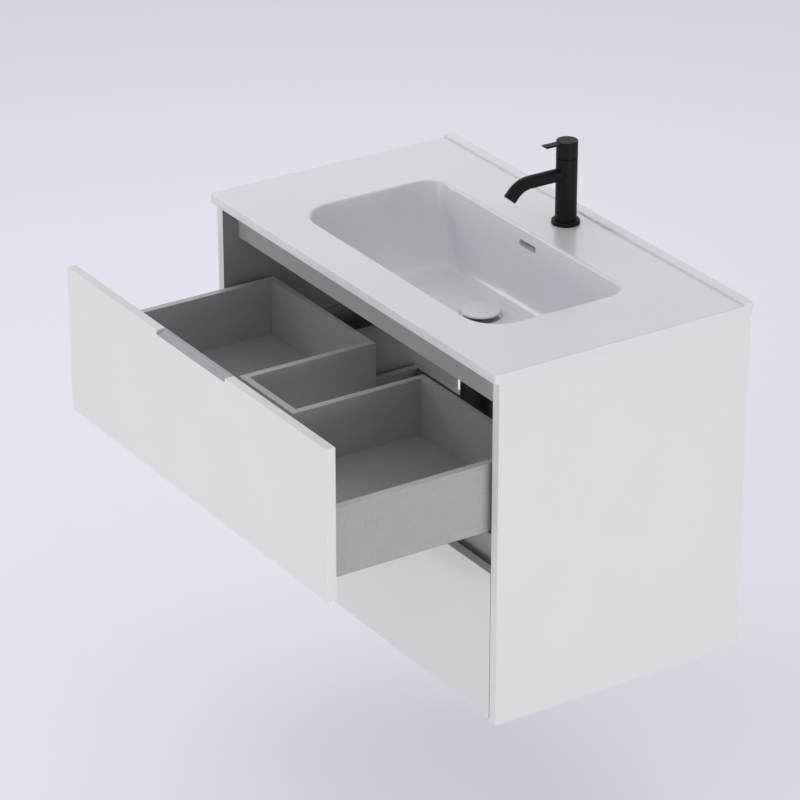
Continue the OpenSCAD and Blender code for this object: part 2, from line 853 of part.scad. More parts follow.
// Channel fixed under the drawer's bottom; it straddles the middle member
module drawer_rails(box_z, open) {
    high = box_z + floor_recess;
    low = high - drawer_rail_leg;
    outer = middle_inset - runner_gap - runner_steel;
    inner = middle_inset + middle_width + runner_gap + runner_steel;
    color(steel) translate([0, runner_y - open, 0]) both_sides() runner_profile([
        [outer, low], [outer, high], [inner, high], [inner, low],
        [inner - runner_steel, low], [inner - runner_steel, high - runner_steel],
        [outer + runner_steel, high - runner_steel], [outer + runner_steel, low]
    ], box_length - runner_front_gap - drawer_rail_end_gap);
}

module upper_drawer_rails() {
    drawer_rails(upper_box_z, upper_drawer_open);
}

module lower_drawer_rails() {
    drawer_rails(lower_box_z, lower_drawer_open);
}

// Catch under the drawer's bottom that holds it to the runner, with its release lever
module clips(box_z, open) {
    x = inner_half - runner_width - clip_width - runner_steel;
    z = box_z + floor_recess - clip_height;
    color([0.35, 0.36, 0.38]) translate([0, box_front_y - open, 0]) both_sides() {
        translate([x, 0, z]) cube([clip_width, clip_length, clip_height]);
        translate([x - clip_lever_width, clip_length - clip_lever_length, z])
            cube([clip_lever_width, clip_lever_length, clip_lever_height]);
    }
}

module upper_clips() {
    clips(upper_box_z, upper_drawer_open);
}

module lower_clips() {
    clips(lower_box_z, lower_drawer_open);
}

// Outline of the grip, as [distance behind the face, height above the top edge]
function grip_outline() = [
    [0, -grip_drop - grip_steel],
    [0, -grip_drop],
    [front_board - grip_lip, -grip_lip_drop],
    [front_board - grip_lip, 0],
    [front_board, 0],
    [front_board, -grip_skirt],
    [front_board - grip_lip, -grip_skirt],
    [front_board - grip_lip, -grip_lip_drop - grip_steel]
];

// Outline of the notch that takes the grip and leaves the space above it open
function notch_outline() = [
    [-overrun, -grip_drop - grip_steel],
    [0, -grip_drop - grip_steel],
    [front_board - grip_lip, -grip_lip_drop - grip_steel],
    [front_board - grip_lip, -grip_skirt],
    [front_board + overrun, -grip_skirt],
    [front_board + overrun, overrun],
    [-overrun, overrun]
];

module drawer_front(z, height, open) {
    color(lacquer) translate([0, front_y - open, z]) difference() {
        translate([-front_width / 2, 0, 0]) cube([front_width, front_board, height]);
        translate([-grip_width / 2, 0, height]) profile_x(notch_outline(), grip_width);
    }
}

module grip(z, height, open) {
    color([0.66, 0.66, 0.67]) translate([-grip_width / 2, front_y - open, z + height])
        profile_x(grip_outline(), grip_width);
}

module upper_front() {
    drawer_front(upper_front_z, upper_front_height, upper_drawer_open);
}

module lower_front() {
    drawer_front(lower_front_z, lower_front_height, lower_drawer_open);
}

module upper_grip() {
    grip(upper_front_z, upper_front_height, upper_drawer_open);
}

module lower_grip() {
    grip(lower_front_z, lower_front_height, lower_drawer_open);
}

module box_side(z, height, open) {
    color(linen) translate([box_inner_half, box_front_y - open, z])
        cube([box_board, box_length, height]);
}

module upper_side_right() {
    box_side(upper_box_z, upper_box_height, upper_drawer_open);
}

module upper_side_left() {
    mirror([1, 0, 0]) upper_side_right();
}

module lower_side_right() {
    box_side(lower_box_z, lower_box_height, lower_drawer_open);
}

module lower_side_left() {
    mirror([1, 0, 0]) lower_side_right();
}

// Boards that stand on the upper drawer's bottom: two backs, two dividers and the wall of the trap bay
module upper_backs() {
    color(linen) both_sides() translate([
        bay_half + box_board,
        box_back_y - box_board - upper_drawer_open,
        upper_board_z
    ]) cube([box_inner_half - bay_half - box_board, box_board, upper_board_height]);
}

module upper_dividers() {
    color(linen) both_sides() translate([bay_half, bay_front_y - upper_drawer_open, upper_board_z])
        cube([box_board, box_back_y - bay_front_y, upper_board_height]);
}

module upper_bay_wall() {
    color(linen) translate([
        -bay_half - box_board,
        bay_front_y - box_board - upper_drawer_open,
        upper_board_z
    ]) cube([2 * (bay_half + box_board), box_board, upper_board_height]);
}

module upper_floor() {
    color(linen) translate([0, box_front_y - upper_drawer_open, upper_box_z + floor_recess]) difference() {
        translate([-box_inner_half, 0, 0]) cube([2 * box_inner_half, box_length, box_floor]);
        translate([-bay_half, trap_bay_setback, -overrun])
            cube([trap_bay_width, box_length, box_floor + 2 * overrun]);
    }
}

module lower_floor() {
    color(linen) translate([-box_inner_half, box_front_y - lower_drawer_open, lower_box_z + floor_recess])
        cube([2 * box_inner_half, box_length, box_floor]);
}

module lower_back() {
    back_y = box_back_y - box_board - lower_drawer_open;
    color(linen) translate([-box_inner_half, back_y, lower_box_z + floor_rise])
        cube([2 * box_inner_half, box_board, lower_box_height - floor_rise]);
}

module at_tap() {
    translate([0, tap_y, 0]) children();
}

module tap_body() {
    color(tap_black) at_tap() difference() {
        translate([0, 0, body_foot_z]) cylinder(r = tap_r, h = body_top_z - body_foot_z);
        translate([0, 0, body_top_z - cartridge_sink])
            cylinder(r = cartridge_r + fit_gap, h = cartridge_sink + overrun);
        translate([0, 0, spout_z]) cylinder(r = body_bore_r, h = body_top_z - spout_z);
        translate([0, -tap_r - overrun, spout_z]) rod_y(spout_r + fit_gap, tap_r + overrun - spout_seat);
        translate([0, -spout_seat - overrun, spout_z]) rod_y(body_bore_r, spout_seat + overrun);
        for (x = [-inlet_offset, inlet_offset]) translate([x, 0, body_foot_z - overrun])
            cylinder(r = inlet_r, h = inlet_length + overrun);
    }
}

module tap_flange() {
    bore = shank_r + fit_gap;
    color(tap_black) at_tap() translate([0, 0, deck_z]) rotate_extrude() difference() {
        union() {
            translate([bore, 0]) square([flange_r - bore, flange_height - flange_round]);
            translate([bore, 0]) square([flange_r - flange_round - bore, flange_height]);
            translate([flange_r - flange_round, flange_height - flange_round]) circle(r = flange_round);
        }
        translate([0, flange_step]) square([tap_r + fit_gap, flange_height]);
    }
}

// Spout: a straight stretch, a bend and a short nose; the straight ones are a hair fuller than the bend
module spout_path(r, seat, nose) {
    translate([0, -spout_straight, spout_z]) {
        rod_y(r + weld_step, spout_straight - seat);
        translate([0, 0, -spout_bend_r]) rotate([0, 90, 0]) rotate([0, 0, 180])
            rotate_extrude(angle = spout_bend_angle) translate([spout_bend_r, 0]) circle(r = r);
        translate([0, 0, -spout_bend_r]) rotate([spout_bend_angle, 0, 0])
            translate([0, -nose, spout_bend_r]) rod_y(r + weld_step, nose);
    }
}

module tap_spout() {
    color(tap_black) at_tap() difference() {
        spout_path(spout_r, spout_seat, spout_end);
        spout_path(spout_r - spout_wall, spout_seat - overrun, spout_end + overrun);
    }
}

module tap_aerator() {
    color("silver") at_tap() translate([0, -spout_straight, spout_z - spout_bend_r])
        rotate([spout_bend_angle, 0, 0]) translate([0, -spout_end, spout_bend_r]) difference() {
            rod_y(aerator_r, aerator_length);
            for (k = [0:len(aerator_ring_counts) - 1], i = [0:aerator_ring_counts[k] - 1])
                rotate([0, i * 360 / aerator_ring_counts[k], 0])
                    translate([aerator_ring_shares[k] * aerator_r, -overrun, 0])
                        rod_y(aerator_hole_r, aerator_length + 2 * overrun);
        }
}

module tap_cartridge() {
    low = body_top_z - cartridge_sink;
    color("beige") at_tap() difference() {
        translate([0, 0, low]) cylinder(r = cartridge_r, h = cap_z + cartridge_rise - low);
        translate([0, 0, cap_z + cartridge_rise - stem_sink])
            cylinder(r = stem_r + fit_gap, h = stem_sink + overrun);
    }
}

module tap_stem() {
    low = cap_z + cartridge_rise - stem_sink;
    color("silver") at_tap() translate([0, 0, low + fit_gap])
        cylinder(r = stem_r, h = tap_top_z - cap_top - low - fit_gap);
}

// Hollow cap with an inner boss that grips the stem
module tap_cap() {
    inside = tap_r - cap_wall;
    color(tap_black) at_tap() rotate_extrude() difference() {
        union() {
            translate([0, cap_z]) square([tap_r, tap_cap_height - cap_round]);
            translate([0, tap_top_z - cap_round]) square([tap_r - cap_round, cap_round]);
            translate([tap_r - cap_round, tap_top_z - cap_round]) circle(r = cap_round);
        }
        translate([-tap_r, cap_z]) square([tap_r, tap_cap_height]);
        translate([cap_boss_r, cap_z - overrun])
            square([inside - cap_boss_r, tap_cap_height - cap_top + overrun]);
        translate([0, cap_z - overrun]) square([cap_boss_r + fit_gap, boss_z - cap_z + overrun]);
        translate([0, cap_z - overrun]) square([stem_r + fit_gap, tap_cap_height - cap_top + overrun]);
    }
}

// Flat lever that leaves the cap near its top; its end is cut on a slant
module tap_lever() {
    color(tap_black) at_tap() translate([0, 0, tap_top_z - cap_round - lever_thickness]) difference() {
        translate([-lever_width / 2, 0, 0]) profile_x([
            [0, 0],
            [0, lever_thickness],
            [-lever_reach, lever_thickness],
            [lever_slant - lever_reach, 0]
        ], lever_width);
        translate([0, 0, -overrun]) cylinder(r = tap_r, h = lever_thickness + 2 * overrun);
    }
}

module tap_shank() {
    color("goldenrod") at_tap() translate([0, 0, top_z - shank_below])
        tube(shank_r, shank_wall, body_foot_z - top_z + shank_below);
}

module tap_washer() {
    color("dimgray") at_tap() translate([0, 0, top_z - tap_washer_height])
        tube(tap_washer_r, tap_washer_r - shank_r - fit_gap, tap_washer_height);
}

module tap_nut() {
    nut_z = top_z - tap_washer_height - tap_nut_height;
    color("goldenrod") at_tap() translate([0, 0, nut_z]) difference() {
        cylinder(r = tap_nut_r, h = tap_nut_height, $fn = 6);
        translate([0, 0, -overrun]) cylinder(r = shank_r + fit_gap, h = tap_nut_height + 2 * overrun);
    }
}

module at_drain() {
    translate([0, drain_y, 0]) children();
}

// Waste: a flange on the recess, a threaded body with windows for the overflow, and a three-armed
// guide for the cover's stem
module waste_body() {
    color("silver") at_drain() difference() {
        union() {
            translate([0, 0, drain_ledge_z]) cylinder(r = waste_flange_r, h = waste_flange);
            translate([0, 0, drain_under_z - waste_collar])
                cylinder(r = waste_body_r, h = drain_ledge_z - drain_under_z + waste_collar);
            translate([0, 0, waste_bottom_z]) cylinder(r = waste_thread_r, h = waste_below);
        }
        difference() {
            translate([0, 0, waste_bottom_z - overrun])
                cylinder(r = waste_bore_r, h = drain_seat_z - waste_bottom_z + 2 * overrun);
            translate([0, 0, drain_seat_z - spider_drop - spider_height]) {
                cylinder(r = spider_r, h = spider_height);
                for (i = [0:2]) rotate([0, 0, 120 * i + 90]) translate([0, -spider_arm / 2, 0])
                    cube([waste_bore_r + overrun, spider_arm, spider_height]);
            }
        }
        translate([0, 0, waste_bottom_z - overrun])
            cylinder(r = cover_stem_r + fit_gap, h = drain_seat_z - waste_bottom_z + 2 * overrun);
        for (a = waste_window_angles) rotate([0, 0, a]) translate([0, -waste_window / 2, duct_z])
            cube([waste_body_r + overrun, waste_window, duct_leg]);
    }
}

module waste_gasket() {
    color("dimgray") at_drain() translate([0, 0, drain_under_z - gasket_height])
        tube(gasket_r, gasket_r - waste_body_r - fit_gap, gasket_height);
}

module waste_nut() {
    nut_z = drain_under_z - gasket_height - waste_nut_height;
    color("silver") at_drain() translate([0, 0, nut_z]) difference() {
        cylinder(r = waste_nut_r, h = waste_nut_height, $fn = 6);
        translate([0, 0, -overrun])
            cylinder(r = waste_body_r + fit_gap, h = waste_nut_height + 2 * overrun);
    }
}

module waste_cover() {
    color(basin_white) at_drain() translate([0, 0, cover_z]) rotate_extrude() difference() {
        union() {
            square([cover_r, cover_height - cover_round]);
            square([cover_r - cover_round, cover_height]);
            translate([cover_r - cover_round, cover_height - cover_round]) circle(r = cover_round);
        }
        translate([-cover_r, -cover_r]) square([2 * cover_r, cover_r]);
        translate([-cover_r, 0]) square([cover_r, cover_r]);
    }
}

module cover_stem() {
    color("silver") at_drain() translate([0, 0, cover_z - cover_stem_length])
        cylinder(r = cover_stem_r, h = cover_stem_length);
}

// Nut that screws onto the waste and grips the dip pipe below it
module trap_inlet_nut() {
    color(trap_grey) at_drain() difference() {
        translate([0, 0, trap_nut_z]) cylinder(r = trap_nut_r, h = trap_nut_height);
        translate([0, 0, waste_bottom_z]) cylinder(r = waste_thread_r + fit_gap, h = trap_nut_height);
        translate([0, 0, trap_nut_z - overrun]) cylinder(r = pipe_r + fit_gap, h = trap_nut_height);
    }
}

module trap_dip_pipe() {
    color(trap_grey) at_drain() translate([0, 0, dip_bottom_z])
        tube(pipe_r, pipe_wall, waste_bottom_z - dip_bottom_z);
}

module trap_collar_nut() {
    color(trap_grey) at_drain() difference() {
        translate([0, 0, collar_nut_z]) cylinder(r = collar_nut_r, h = collar_nut_height);
        translate([0, 0, bottle_collar_z - collar_nut_height])
            cylinder(r = bottle_collar_r + fit_gap, h = collar_nut_height);
        translate([0, 0, bottle_collar_z - overrun])
            cylinder(r = pipe_r + fit_gap, h = collar_nut_roof + 2 * overrun);
    }
}

// Bottle: open below for the screw-on cup, with a collar above and a stub at the side
module trap_bottle() {
    color(trap_grey) at_drain() difference() {
        union() {
            translate([0, 0, bottle_low_z]) cylinder(r = bottle_r, h = collar_nut_z - bottle_low_z);
            translate([0, 0, collar_nut_z])
                cylinder(r = bottle_collar_r, h = bottle_collar_z - collar_nut_z);
            translate([0, 0, outlet_z]) rod_y(stub_r, bottle_r + outlet_stub);
        }
        translate([0, 0, bottle_low_z - overrun])
            cylinder(r = bottle_r - bottle_wall, h = collar_nut_z - bottle_roof - bottle_low_z + overrun);
        translate([0, 0, bottle_low_z])
            cylinder(r = pipe_r + fit_gap, h = bottle_height + 2 * bottle_collar_height);
        translate([0, 0, outlet_z]) rod_y(pipe_r + fit_gap, bottle_r + outlet_stub + overrun);
    }
}

// Cup that closes the bottle from below, with a grip groove round it
module trap_cup() {
    cup_z = bottle_low_z - cup_height;
    color(trap_grey) at_drain() difference() {
        translate([0, 0, cup_z]) cylinder(r = bottle_r + cup_lip, h = cup_height);
        translate([0, 0, cup_z + bottle_wall]) cylinder(r = bottle_r - bottle_wall, h = cup_height);
        translate([0, 0, cup_z + cup_height / 2 - cup_groove / 2]) difference() {
            cylinder(r = bottle_r + 2 * cup_lip, h = cup_groove);
            cylinder(r = bottle_r + cup_lip / 2, h = cup_groove);
        }
    }
}

// Pipe to the wall; the end inside the nut is turned down a little
module trap_outlet_pipe() {
    start = bottle_r + outlet_stub - outlet_nut_length / 2;
    spigot = outlet_nut_length + spigot_gap;
    length = -drain_y - start;
    color(trap_grey) translate([0, drain_y + start, outlet_z]) difference() {
        union() {
            rod_y(pipe_r - spigot_step, length);
            translate([0, spigot, 0]) rod_y(pipe_r, length - spigot);
        }
        translate([0, -overrun, 0]) rod_y(pipe_r - pipe_wall, length + 2 * overrun);
    }
}

module trap_outlet_nut() {
    stub = bottle_r + outlet_stub;
    color(trap_grey) at_drain() translate([0, stub, outlet_z]) difference() {
        translate([0, -outlet_nut_length / 2, 0]) rod_y(outlet_nut_r, outlet_nut_length);
        translate([0, -outlet_nut_length, 0])
            rod_y(stub_r + fit_gap, outlet_nut_length);
        rod_y(pipe_r + fit_gap, outlet_nut_length);
    }
}

side_panel_left();
side_panel_right();
cabinet_floor();
top_front_rail();
middle_front_rail();
upper_back_rail();
lower_back_rail();
carcass_dowels();
wall_plates();
hanger_hooks();
hanger_bodies();
hanger_adjusters();
upper_cabinet_rails();
lower_cabinet_rails();
runner_screws();
washbasin();
tap_body();
tap_flange();
tap_spout();
tap_aerator();
tap_cartridge();
tap_shank();
tap_washer();
tap_nut();
tap_cap();
tap_lever();
tap_stem();
waste_body();
waste_gasket();
waste_nut();
waste_cover();
cover_stem();
trap_inlet_nut();
trap_dip_pipe();
trap_collar_nut();
trap_bottle();
trap_cup();
trap_outlet_pipe();
trap_outlet_nut();
upper_front();
upper_grip();
upper_side_left();
upper_side_right();
upper_backs();
upper_dividers();
upper_bay_wall();
upper_floor();
upper_drawer_rails();
upper_clips();
upper_middle_rails();
lower_front();
lower_grip();
lower_side_left();
lower_side_right();
lower_back();
lower_floor();
lower_drawer_rails();
lower_clips();
lower_middle_rails();
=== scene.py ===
"""Dresses the wall-hung vanity: finishes, softened edges, the cast washbasin and a plain studio.

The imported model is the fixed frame. Each board and fitting is a copy of its CAD node with softened
edges. The runners, their screws and the dowels are the nodes themselves, and the washbasin is
modelled afresh in the space of its node. Lengths are in metres.
"""

from __future__ import annotations

import json
import logging
import math
from dataclasses import dataclass, field
from enum import Enum

import bmesh
import bpy
from mathutils import Matrix, Vector

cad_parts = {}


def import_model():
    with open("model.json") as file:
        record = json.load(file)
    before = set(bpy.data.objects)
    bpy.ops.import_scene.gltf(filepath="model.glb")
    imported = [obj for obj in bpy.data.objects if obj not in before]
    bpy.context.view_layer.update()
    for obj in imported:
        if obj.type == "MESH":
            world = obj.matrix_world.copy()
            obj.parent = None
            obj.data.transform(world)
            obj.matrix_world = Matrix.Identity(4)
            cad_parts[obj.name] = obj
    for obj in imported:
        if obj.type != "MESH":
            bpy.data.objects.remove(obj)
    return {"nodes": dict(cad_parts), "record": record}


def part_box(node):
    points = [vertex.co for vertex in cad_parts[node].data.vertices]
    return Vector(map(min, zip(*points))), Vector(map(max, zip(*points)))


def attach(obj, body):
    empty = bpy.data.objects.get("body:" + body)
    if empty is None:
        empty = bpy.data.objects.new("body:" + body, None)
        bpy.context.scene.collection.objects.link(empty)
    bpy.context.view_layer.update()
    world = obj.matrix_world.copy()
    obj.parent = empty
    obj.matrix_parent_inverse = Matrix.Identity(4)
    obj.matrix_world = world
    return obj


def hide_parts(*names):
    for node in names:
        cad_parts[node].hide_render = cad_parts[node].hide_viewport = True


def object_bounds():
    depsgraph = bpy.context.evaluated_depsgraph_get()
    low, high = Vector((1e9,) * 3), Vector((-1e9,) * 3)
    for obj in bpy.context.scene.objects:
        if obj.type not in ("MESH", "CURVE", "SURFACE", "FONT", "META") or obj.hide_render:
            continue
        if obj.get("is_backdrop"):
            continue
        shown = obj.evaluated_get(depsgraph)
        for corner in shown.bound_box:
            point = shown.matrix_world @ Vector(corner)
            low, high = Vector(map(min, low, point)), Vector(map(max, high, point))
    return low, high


Mesh = bmesh.types.BMesh
Socket = bpy.types.NodeSocket
Colour = tuple[float, float, float]

LOG = logging.getLogger("vanity")
MM = 0.001
MERGE_DISTANCE = 1e-6
QUARTER_TURN = math.pi / 2


class Slot(Enum):
    """The record's material slots."""

    LACQUER = "lacquer"
    GREY_BOARD = "grey_board"
    LINEN_BOARD = "linen_board"
    BEECH = "beech"
    ZINC_STEEL = "zinc_steel"
    BASIN_CERAMIC = "basin_ceramic"
    TAP_BLACK = "tap_black"
    BRASS = "brass"
    RUBBER = "rubber"
    CARTRIDGE_PLASTIC = "cartridge_plastic"
    CLIP_PLASTIC = "clip_plastic"
    GRIP_ALUMINIUM = "grip_aluminium"
    TRAP_PLASTIC = "trap_plastic"
    CHROME = "chrome"


class Lay(Enum):
    """How a board lies, which sets the way its threads run."""

    UPRIGHT = "upright"
    LYING = "lying"


class Graph:
    """Adds and wires the nodes of one shader tree."""

    def __init__(self, tree: bpy.types.NodeTree) -> None:
        """Keeps the tree.

        Args:
            tree: the node tree to fill.
        """
        self.tree = tree

    def add(self, kind: str, **settings: object) -> bpy.types.Node:
        """Adds a node.

        Args:
            kind: the node's type name.
            **settings: properties of the node, by name.

        Returns:
            The new node.
        """
        node = self.tree.nodes.new(kind)
        for name, value in settings.items():
            setattr(node, name, value)
        return node

    def link(self, source: Socket, target: Socket) -> None:
        """Joins an output to an input.

        Args:
            source: the output.
            target: the input.
        """
        self.tree.links.new(source, target)

    def feed(self, target: Socket, value: object) -> None:
        """Sets an input, from a socket or from a plain value.

        Args:
            target: the input.
            value: a socket, a number or a tuple.
        """
        if isinstance(value, Socket):
            self.link(value, target)
        else:
            target.default_value = value

    def calc(self, operation: str, first: object, second: object) -> Socket:
        """Adds a Math node.

        Args:
            operation: the node's operation.
            first: a socket or a number.
            second: a socket or a number.

        Returns:
            The result's socket.
        """
        node = self.add("ShaderNodeMath", operation=operation)
        self.feed(node.inputs[0], first)
        self.feed(node.inputs[1], second)
        return node.outputs[0]

    def stretched(self, vector: Socket, scale: object) -> Socket:
        """Scales a vector along each axis.

        Args:
            vector: the coordinates.
            scale: a socket or three numbers.

        Returns:
            The scaled vector's socket.
        """
        node = self.add("ShaderNodeVectorMath", operation="MULTIPLY")
        self.link(vector, node.inputs[0])
        self.feed(node.inputs[1], scale)
        return node.outputs[0]

    def noise(self, vector: Socket, scale: object, detail: float) -> Socket:
        """Adds a noise texture.

        Args:
            vector: the coordinates.
            scale: the texture's scale, a socket or a number.
            detail: the number of octaves.

        Returns:
            The socket of its value.
        """
        node = self.add("ShaderNodeTexNoise")
        self.link(vector, node.inputs["Vector"])
        self.feed(node.inputs["Scale"], scale)
        node.inputs["Detail"].default_value = detail
        return node.outputs["Fac"]

    def ranged(
        self, value: Socket, source: tuple[float, float],
        target: tuple[float, float] = (0.0, 1.0), **settings: object,
    ) -> Socket:
        """Stretches one range of values on to another and holds what lies past its ends.

        Args:
            value: the socket of the value.
            source: the ends of the range that it comes from.
            target: the ends of the range that it goes to.
            **settings: properties of the node, by name.

        Returns:
            The result's socket.
        """
        node = self.add("ShaderNodeMapRange", **settings)
        self.link(value, node.inputs["Value"])
        for name, number in zip(("From Min", "From Max", "To Min", "To Max"), (*source, *target)):
            node.inputs[name].default_value = number
        return node.outputs["Result"]

    def tint(self, factor: object, first: object, second: object) -> Socket:
        """Mixes two colours.

        Args:
            factor: the share of the second colour.
            first: a socket or a colour.
            second: a socket or a colour.

        Returns:
            The mixed colour's socket.
        """
        node = self.add("ShaderNodeMix", data_type="RGBA")
        self.feed(node.inputs["Factor"], factor)
        self.feed(node.inputs["A"], first)
        self.feed(node.inputs["B"], second)
        return node.outputs["Result"]


class Groups:
    """The shader node groups that several finishes share, each built once.

    Attributes:
        THREAD_DETAIL: octaves of the threads' noise.
        SLOW_DETAIL: octaves of the slow unevenness.
        FINE_DETAIL: octaves of the fine grain.
    """

    THREAD_DETAIL = 1.5
    SLOW_DETAIL = 3.0
    FINE_DETAIL = 2.0

    @staticmethod
    def new(name: str, inputs: dict[str, object], outputs: tuple[str, ...]) -> bpy.types.NodeTree:
        """Makes an empty group with its sockets.

        Args:
            name: the group's name.
            inputs: the default value of each input, a number or three, by name.
            outputs: the names of its outputs, which are all numbers.

        Returns:
            The group's tree.
        """
        tree = bpy.data.node_groups.new(name, "ShaderNodeTree")
        for label, default in inputs.items():
            kind = "NodeSocketVector" if isinstance(default, tuple) else "NodeSocketFloat"
            socket = tree.interface.new_socket(name=label, in_out="INPUT", socket_type=kind)
            socket.default_value = default
        for label in outputs:
            tree.interface.new_socket(
                name=label, in_out="OUTPUT", socket_type="NodeSocketFloat",
            )
        return tree

    @classmethod
    def threads(cls) -> bpy.types.NodeTree:
        """Builds the linen print: two crossing sets of fine, uneven threads.

        Returns:
            The group, with a mask of 0 to 1.
        """
        name = "linen_threads"
        if name in bpy.data.node_groups:
            return bpy.data.node_groups[name]
        inputs = {"Along": (1.0, 1.0, 0.05), "Across": (0.05, 0.05, 1.0), "Fineness": 900.0}
        tree = cls.new(name, inputs, ("Mask",))
        graph = Graph(tree)
        ends = graph.add("NodeGroupInput")
        result = graph.add("NodeGroupOutput")
        place = graph.add("ShaderNodeTexCoord").outputs["Object"]
        fineness = ends.outputs["Fineness"]
        warp, weft = (
            graph.noise(graph.stretched(place, ends.outputs[way]), fineness, cls.THREAD_DETAIL)
            for way in ("Along", "Across")
        )
        both = graph.calc("MULTIPLY", graph.calc("ADD", warp, weft), 0.5)
        graph.link(both, result.inputs["Mask"])
        return tree

    @classmethod
    def mottle(cls) -> bpy.types.NodeTree:
        """Builds a slow unevenness with a fine grain over it.

        Returns:
            The group, with a slow mask and a fine one.
        """
        name = "mottle"
        if name in bpy.data.node_groups:
            return bpy.data.node_groups[name]
        inputs = {"Stretch": (1.0, 1.0, 1.0), "Slow Scale": 9.0, "Fine Scale": 700.0}
        tree = cls.new(name, inputs, ("Slow", "Fine"))
        graph = Graph(tree)
        ends = graph.add("NodeGroupInput")
        result = graph.add("NodeGroupOutput")
        place = graph.add("ShaderNodeTexCoord").outputs["Object"]
        placed = graph.stretched(place, ends.outputs["Stretch"])
        for pace, detail in (("Slow", cls.SLOW_DETAIL), ("Fine", cls.FINE_DETAIL)):
            mask = graph.noise(placed, ends.outputs[f"{pace} Scale"], detail)
            graph.link(mask, result.inputs[pace])
        return tree


@dataclass(frozen=True)
class Finish:
    """A surface: its colour, its shine and the fine unevenness of both.

    Attributes:
        name: the material's name.
        slot: the record's slot that it stands for; not used.
        colour: the base colour, linear.
        shade: the colour that the unevenness turns to, linear.
        roughness: the lowest and highest roughness.
        grain_scale: the scale of the fine grain, per metre.
        slow_scale: the scale of the slow unevenness, per metre.
        relief: the depth of the grain, in metres.
        stretch: how the grain is squeezed along X, Y and Z.
        metallic: 1 for bare metal.
        coat: the weight of the clear coat.
        coat_roughness: its roughness.
        specular: the strength of the plain reflection.
        slow_share: the share of the slow unevenness in the tint; the rest is fine grain.
        spread: the values of the mask between which the surface turns from one end to the other.
    """

    name: str
    slot: Slot
    colour: Colour
    shade: Colour
    roughness: tuple[float, float]
    grain_scale: float = 700.0
    slow_scale: float = 9.0
    relief: float = 2e-5
    stretch: tuple[float, float, float] = (1.0, 1.0, 1.0)
    metallic: float = 0.0
    coat: float = 0.0
    coat_roughness: float = 0.1
    specular: float = 0.5
    slow_share: float = 0.6
    spread: tuple[float, float] = (0.3, 0.7)

    def masks(self, graph: Graph) -> tuple[Socket, Socket]:
        """Places the unevenness.

        Args:
            graph: the material's tree.

        Returns:
            The mask that tints the colour, and the height of the relief.
        """
        node = graph.add("ShaderNodeGroup", node_tree=Groups.mottle())
        node.inputs["Stretch"].default_value = self.stretch
        node.inputs["Slow Scale"].default_value = self.slow_scale
        node.inputs["Fine Scale"].default_value = self.grain_scale
        tint = graph.calc(
            "ADD",
            graph.calc("MULTIPLY", node.outputs["Slow"], self.slow_share),
            graph.calc("MULTIPLY", node.outputs["Fine"], 1.0 - self.slow_share),
        )
        return tint, node.outputs["Fine"]

    def build(self) -> bpy.types.Material:
        """Makes the material once and keeps it by name.

        Returns:
            The material.
        """
        if self.name in bpy.data.materials:
            return bpy.data.materials[self.name]
        material = bpy.data.materials.new(self.name)
        material.use_nodes = True
        material.node_tree.nodes.clear()
        graph = Graph(material.node_tree)
        output = graph.add("ShaderNodeOutputMaterial")
        shader = graph.add("ShaderNodeBsdfPrincipled")
        graph.link(shader.outputs["BSDF"], output.inputs["Surface"])
        shader.inputs["Metallic"].default_value = self.metallic
        shader.inputs["Coat Weight"].default_value = self.coat
        shader.inputs["Coat Roughness"].default_value = self.coat_roughness
        shader.inputs["Specular IOR Level"].default_value = self.specular
        tint, height = self.masks(graph)
        turn = graph.ranged(tint, self.spread)
        colour = graph.tint(turn, (*self.colour, 1.0), (*self.shade, 1.0))
        graph.link(colour, shader.inputs["Base Color"])
        graph.link(graph.ranged(tint, self.spread, self.roughness), shader.inputs["Roughness"])
        bump = graph.add("ShaderNodeBump")
        bump.inputs["Distance"].default_value = self.relief
        graph.link(height, bump.inputs["Height"])
        graph.link(bump.outputs["Normal"], shader.inputs["Normal"])
        return material


@dataclass(frozen=True)
class Linen(Finish):
    """Melamine with a printed and pressed linen grain.

    Attributes:
        lay: how the board lies.
        reach: a thread's width as a share of its length.
    """

    lay: Lay = Lay.UPRIGHT
    reach: float = 0.045

    def masks(self, graph: Graph) -> tuple[Socket, Socket]:
        """Places the threads.

        Args:
            graph: the material's tree.

        Returns:
            The mask that tints the colour, and the height of the relief.
        """
        node = graph.add("ShaderNodeGroup", node_tree=Groups.threads())
        long = self.reach
        if self.lay is Lay.UPRIGHT:
            along, across = (1.0, 1.0, long), (long, long, 1.0)
        else:
            along, across = (1.0, long, long), (long, 1.0, long)
        node.inputs["Along"].default_value = along
        node.inputs["Across"].default_value = across
        node.inputs["Fineness"].default_value = self.grain_scale
        return node.outputs["Mask"], node.outputs["Mask"]


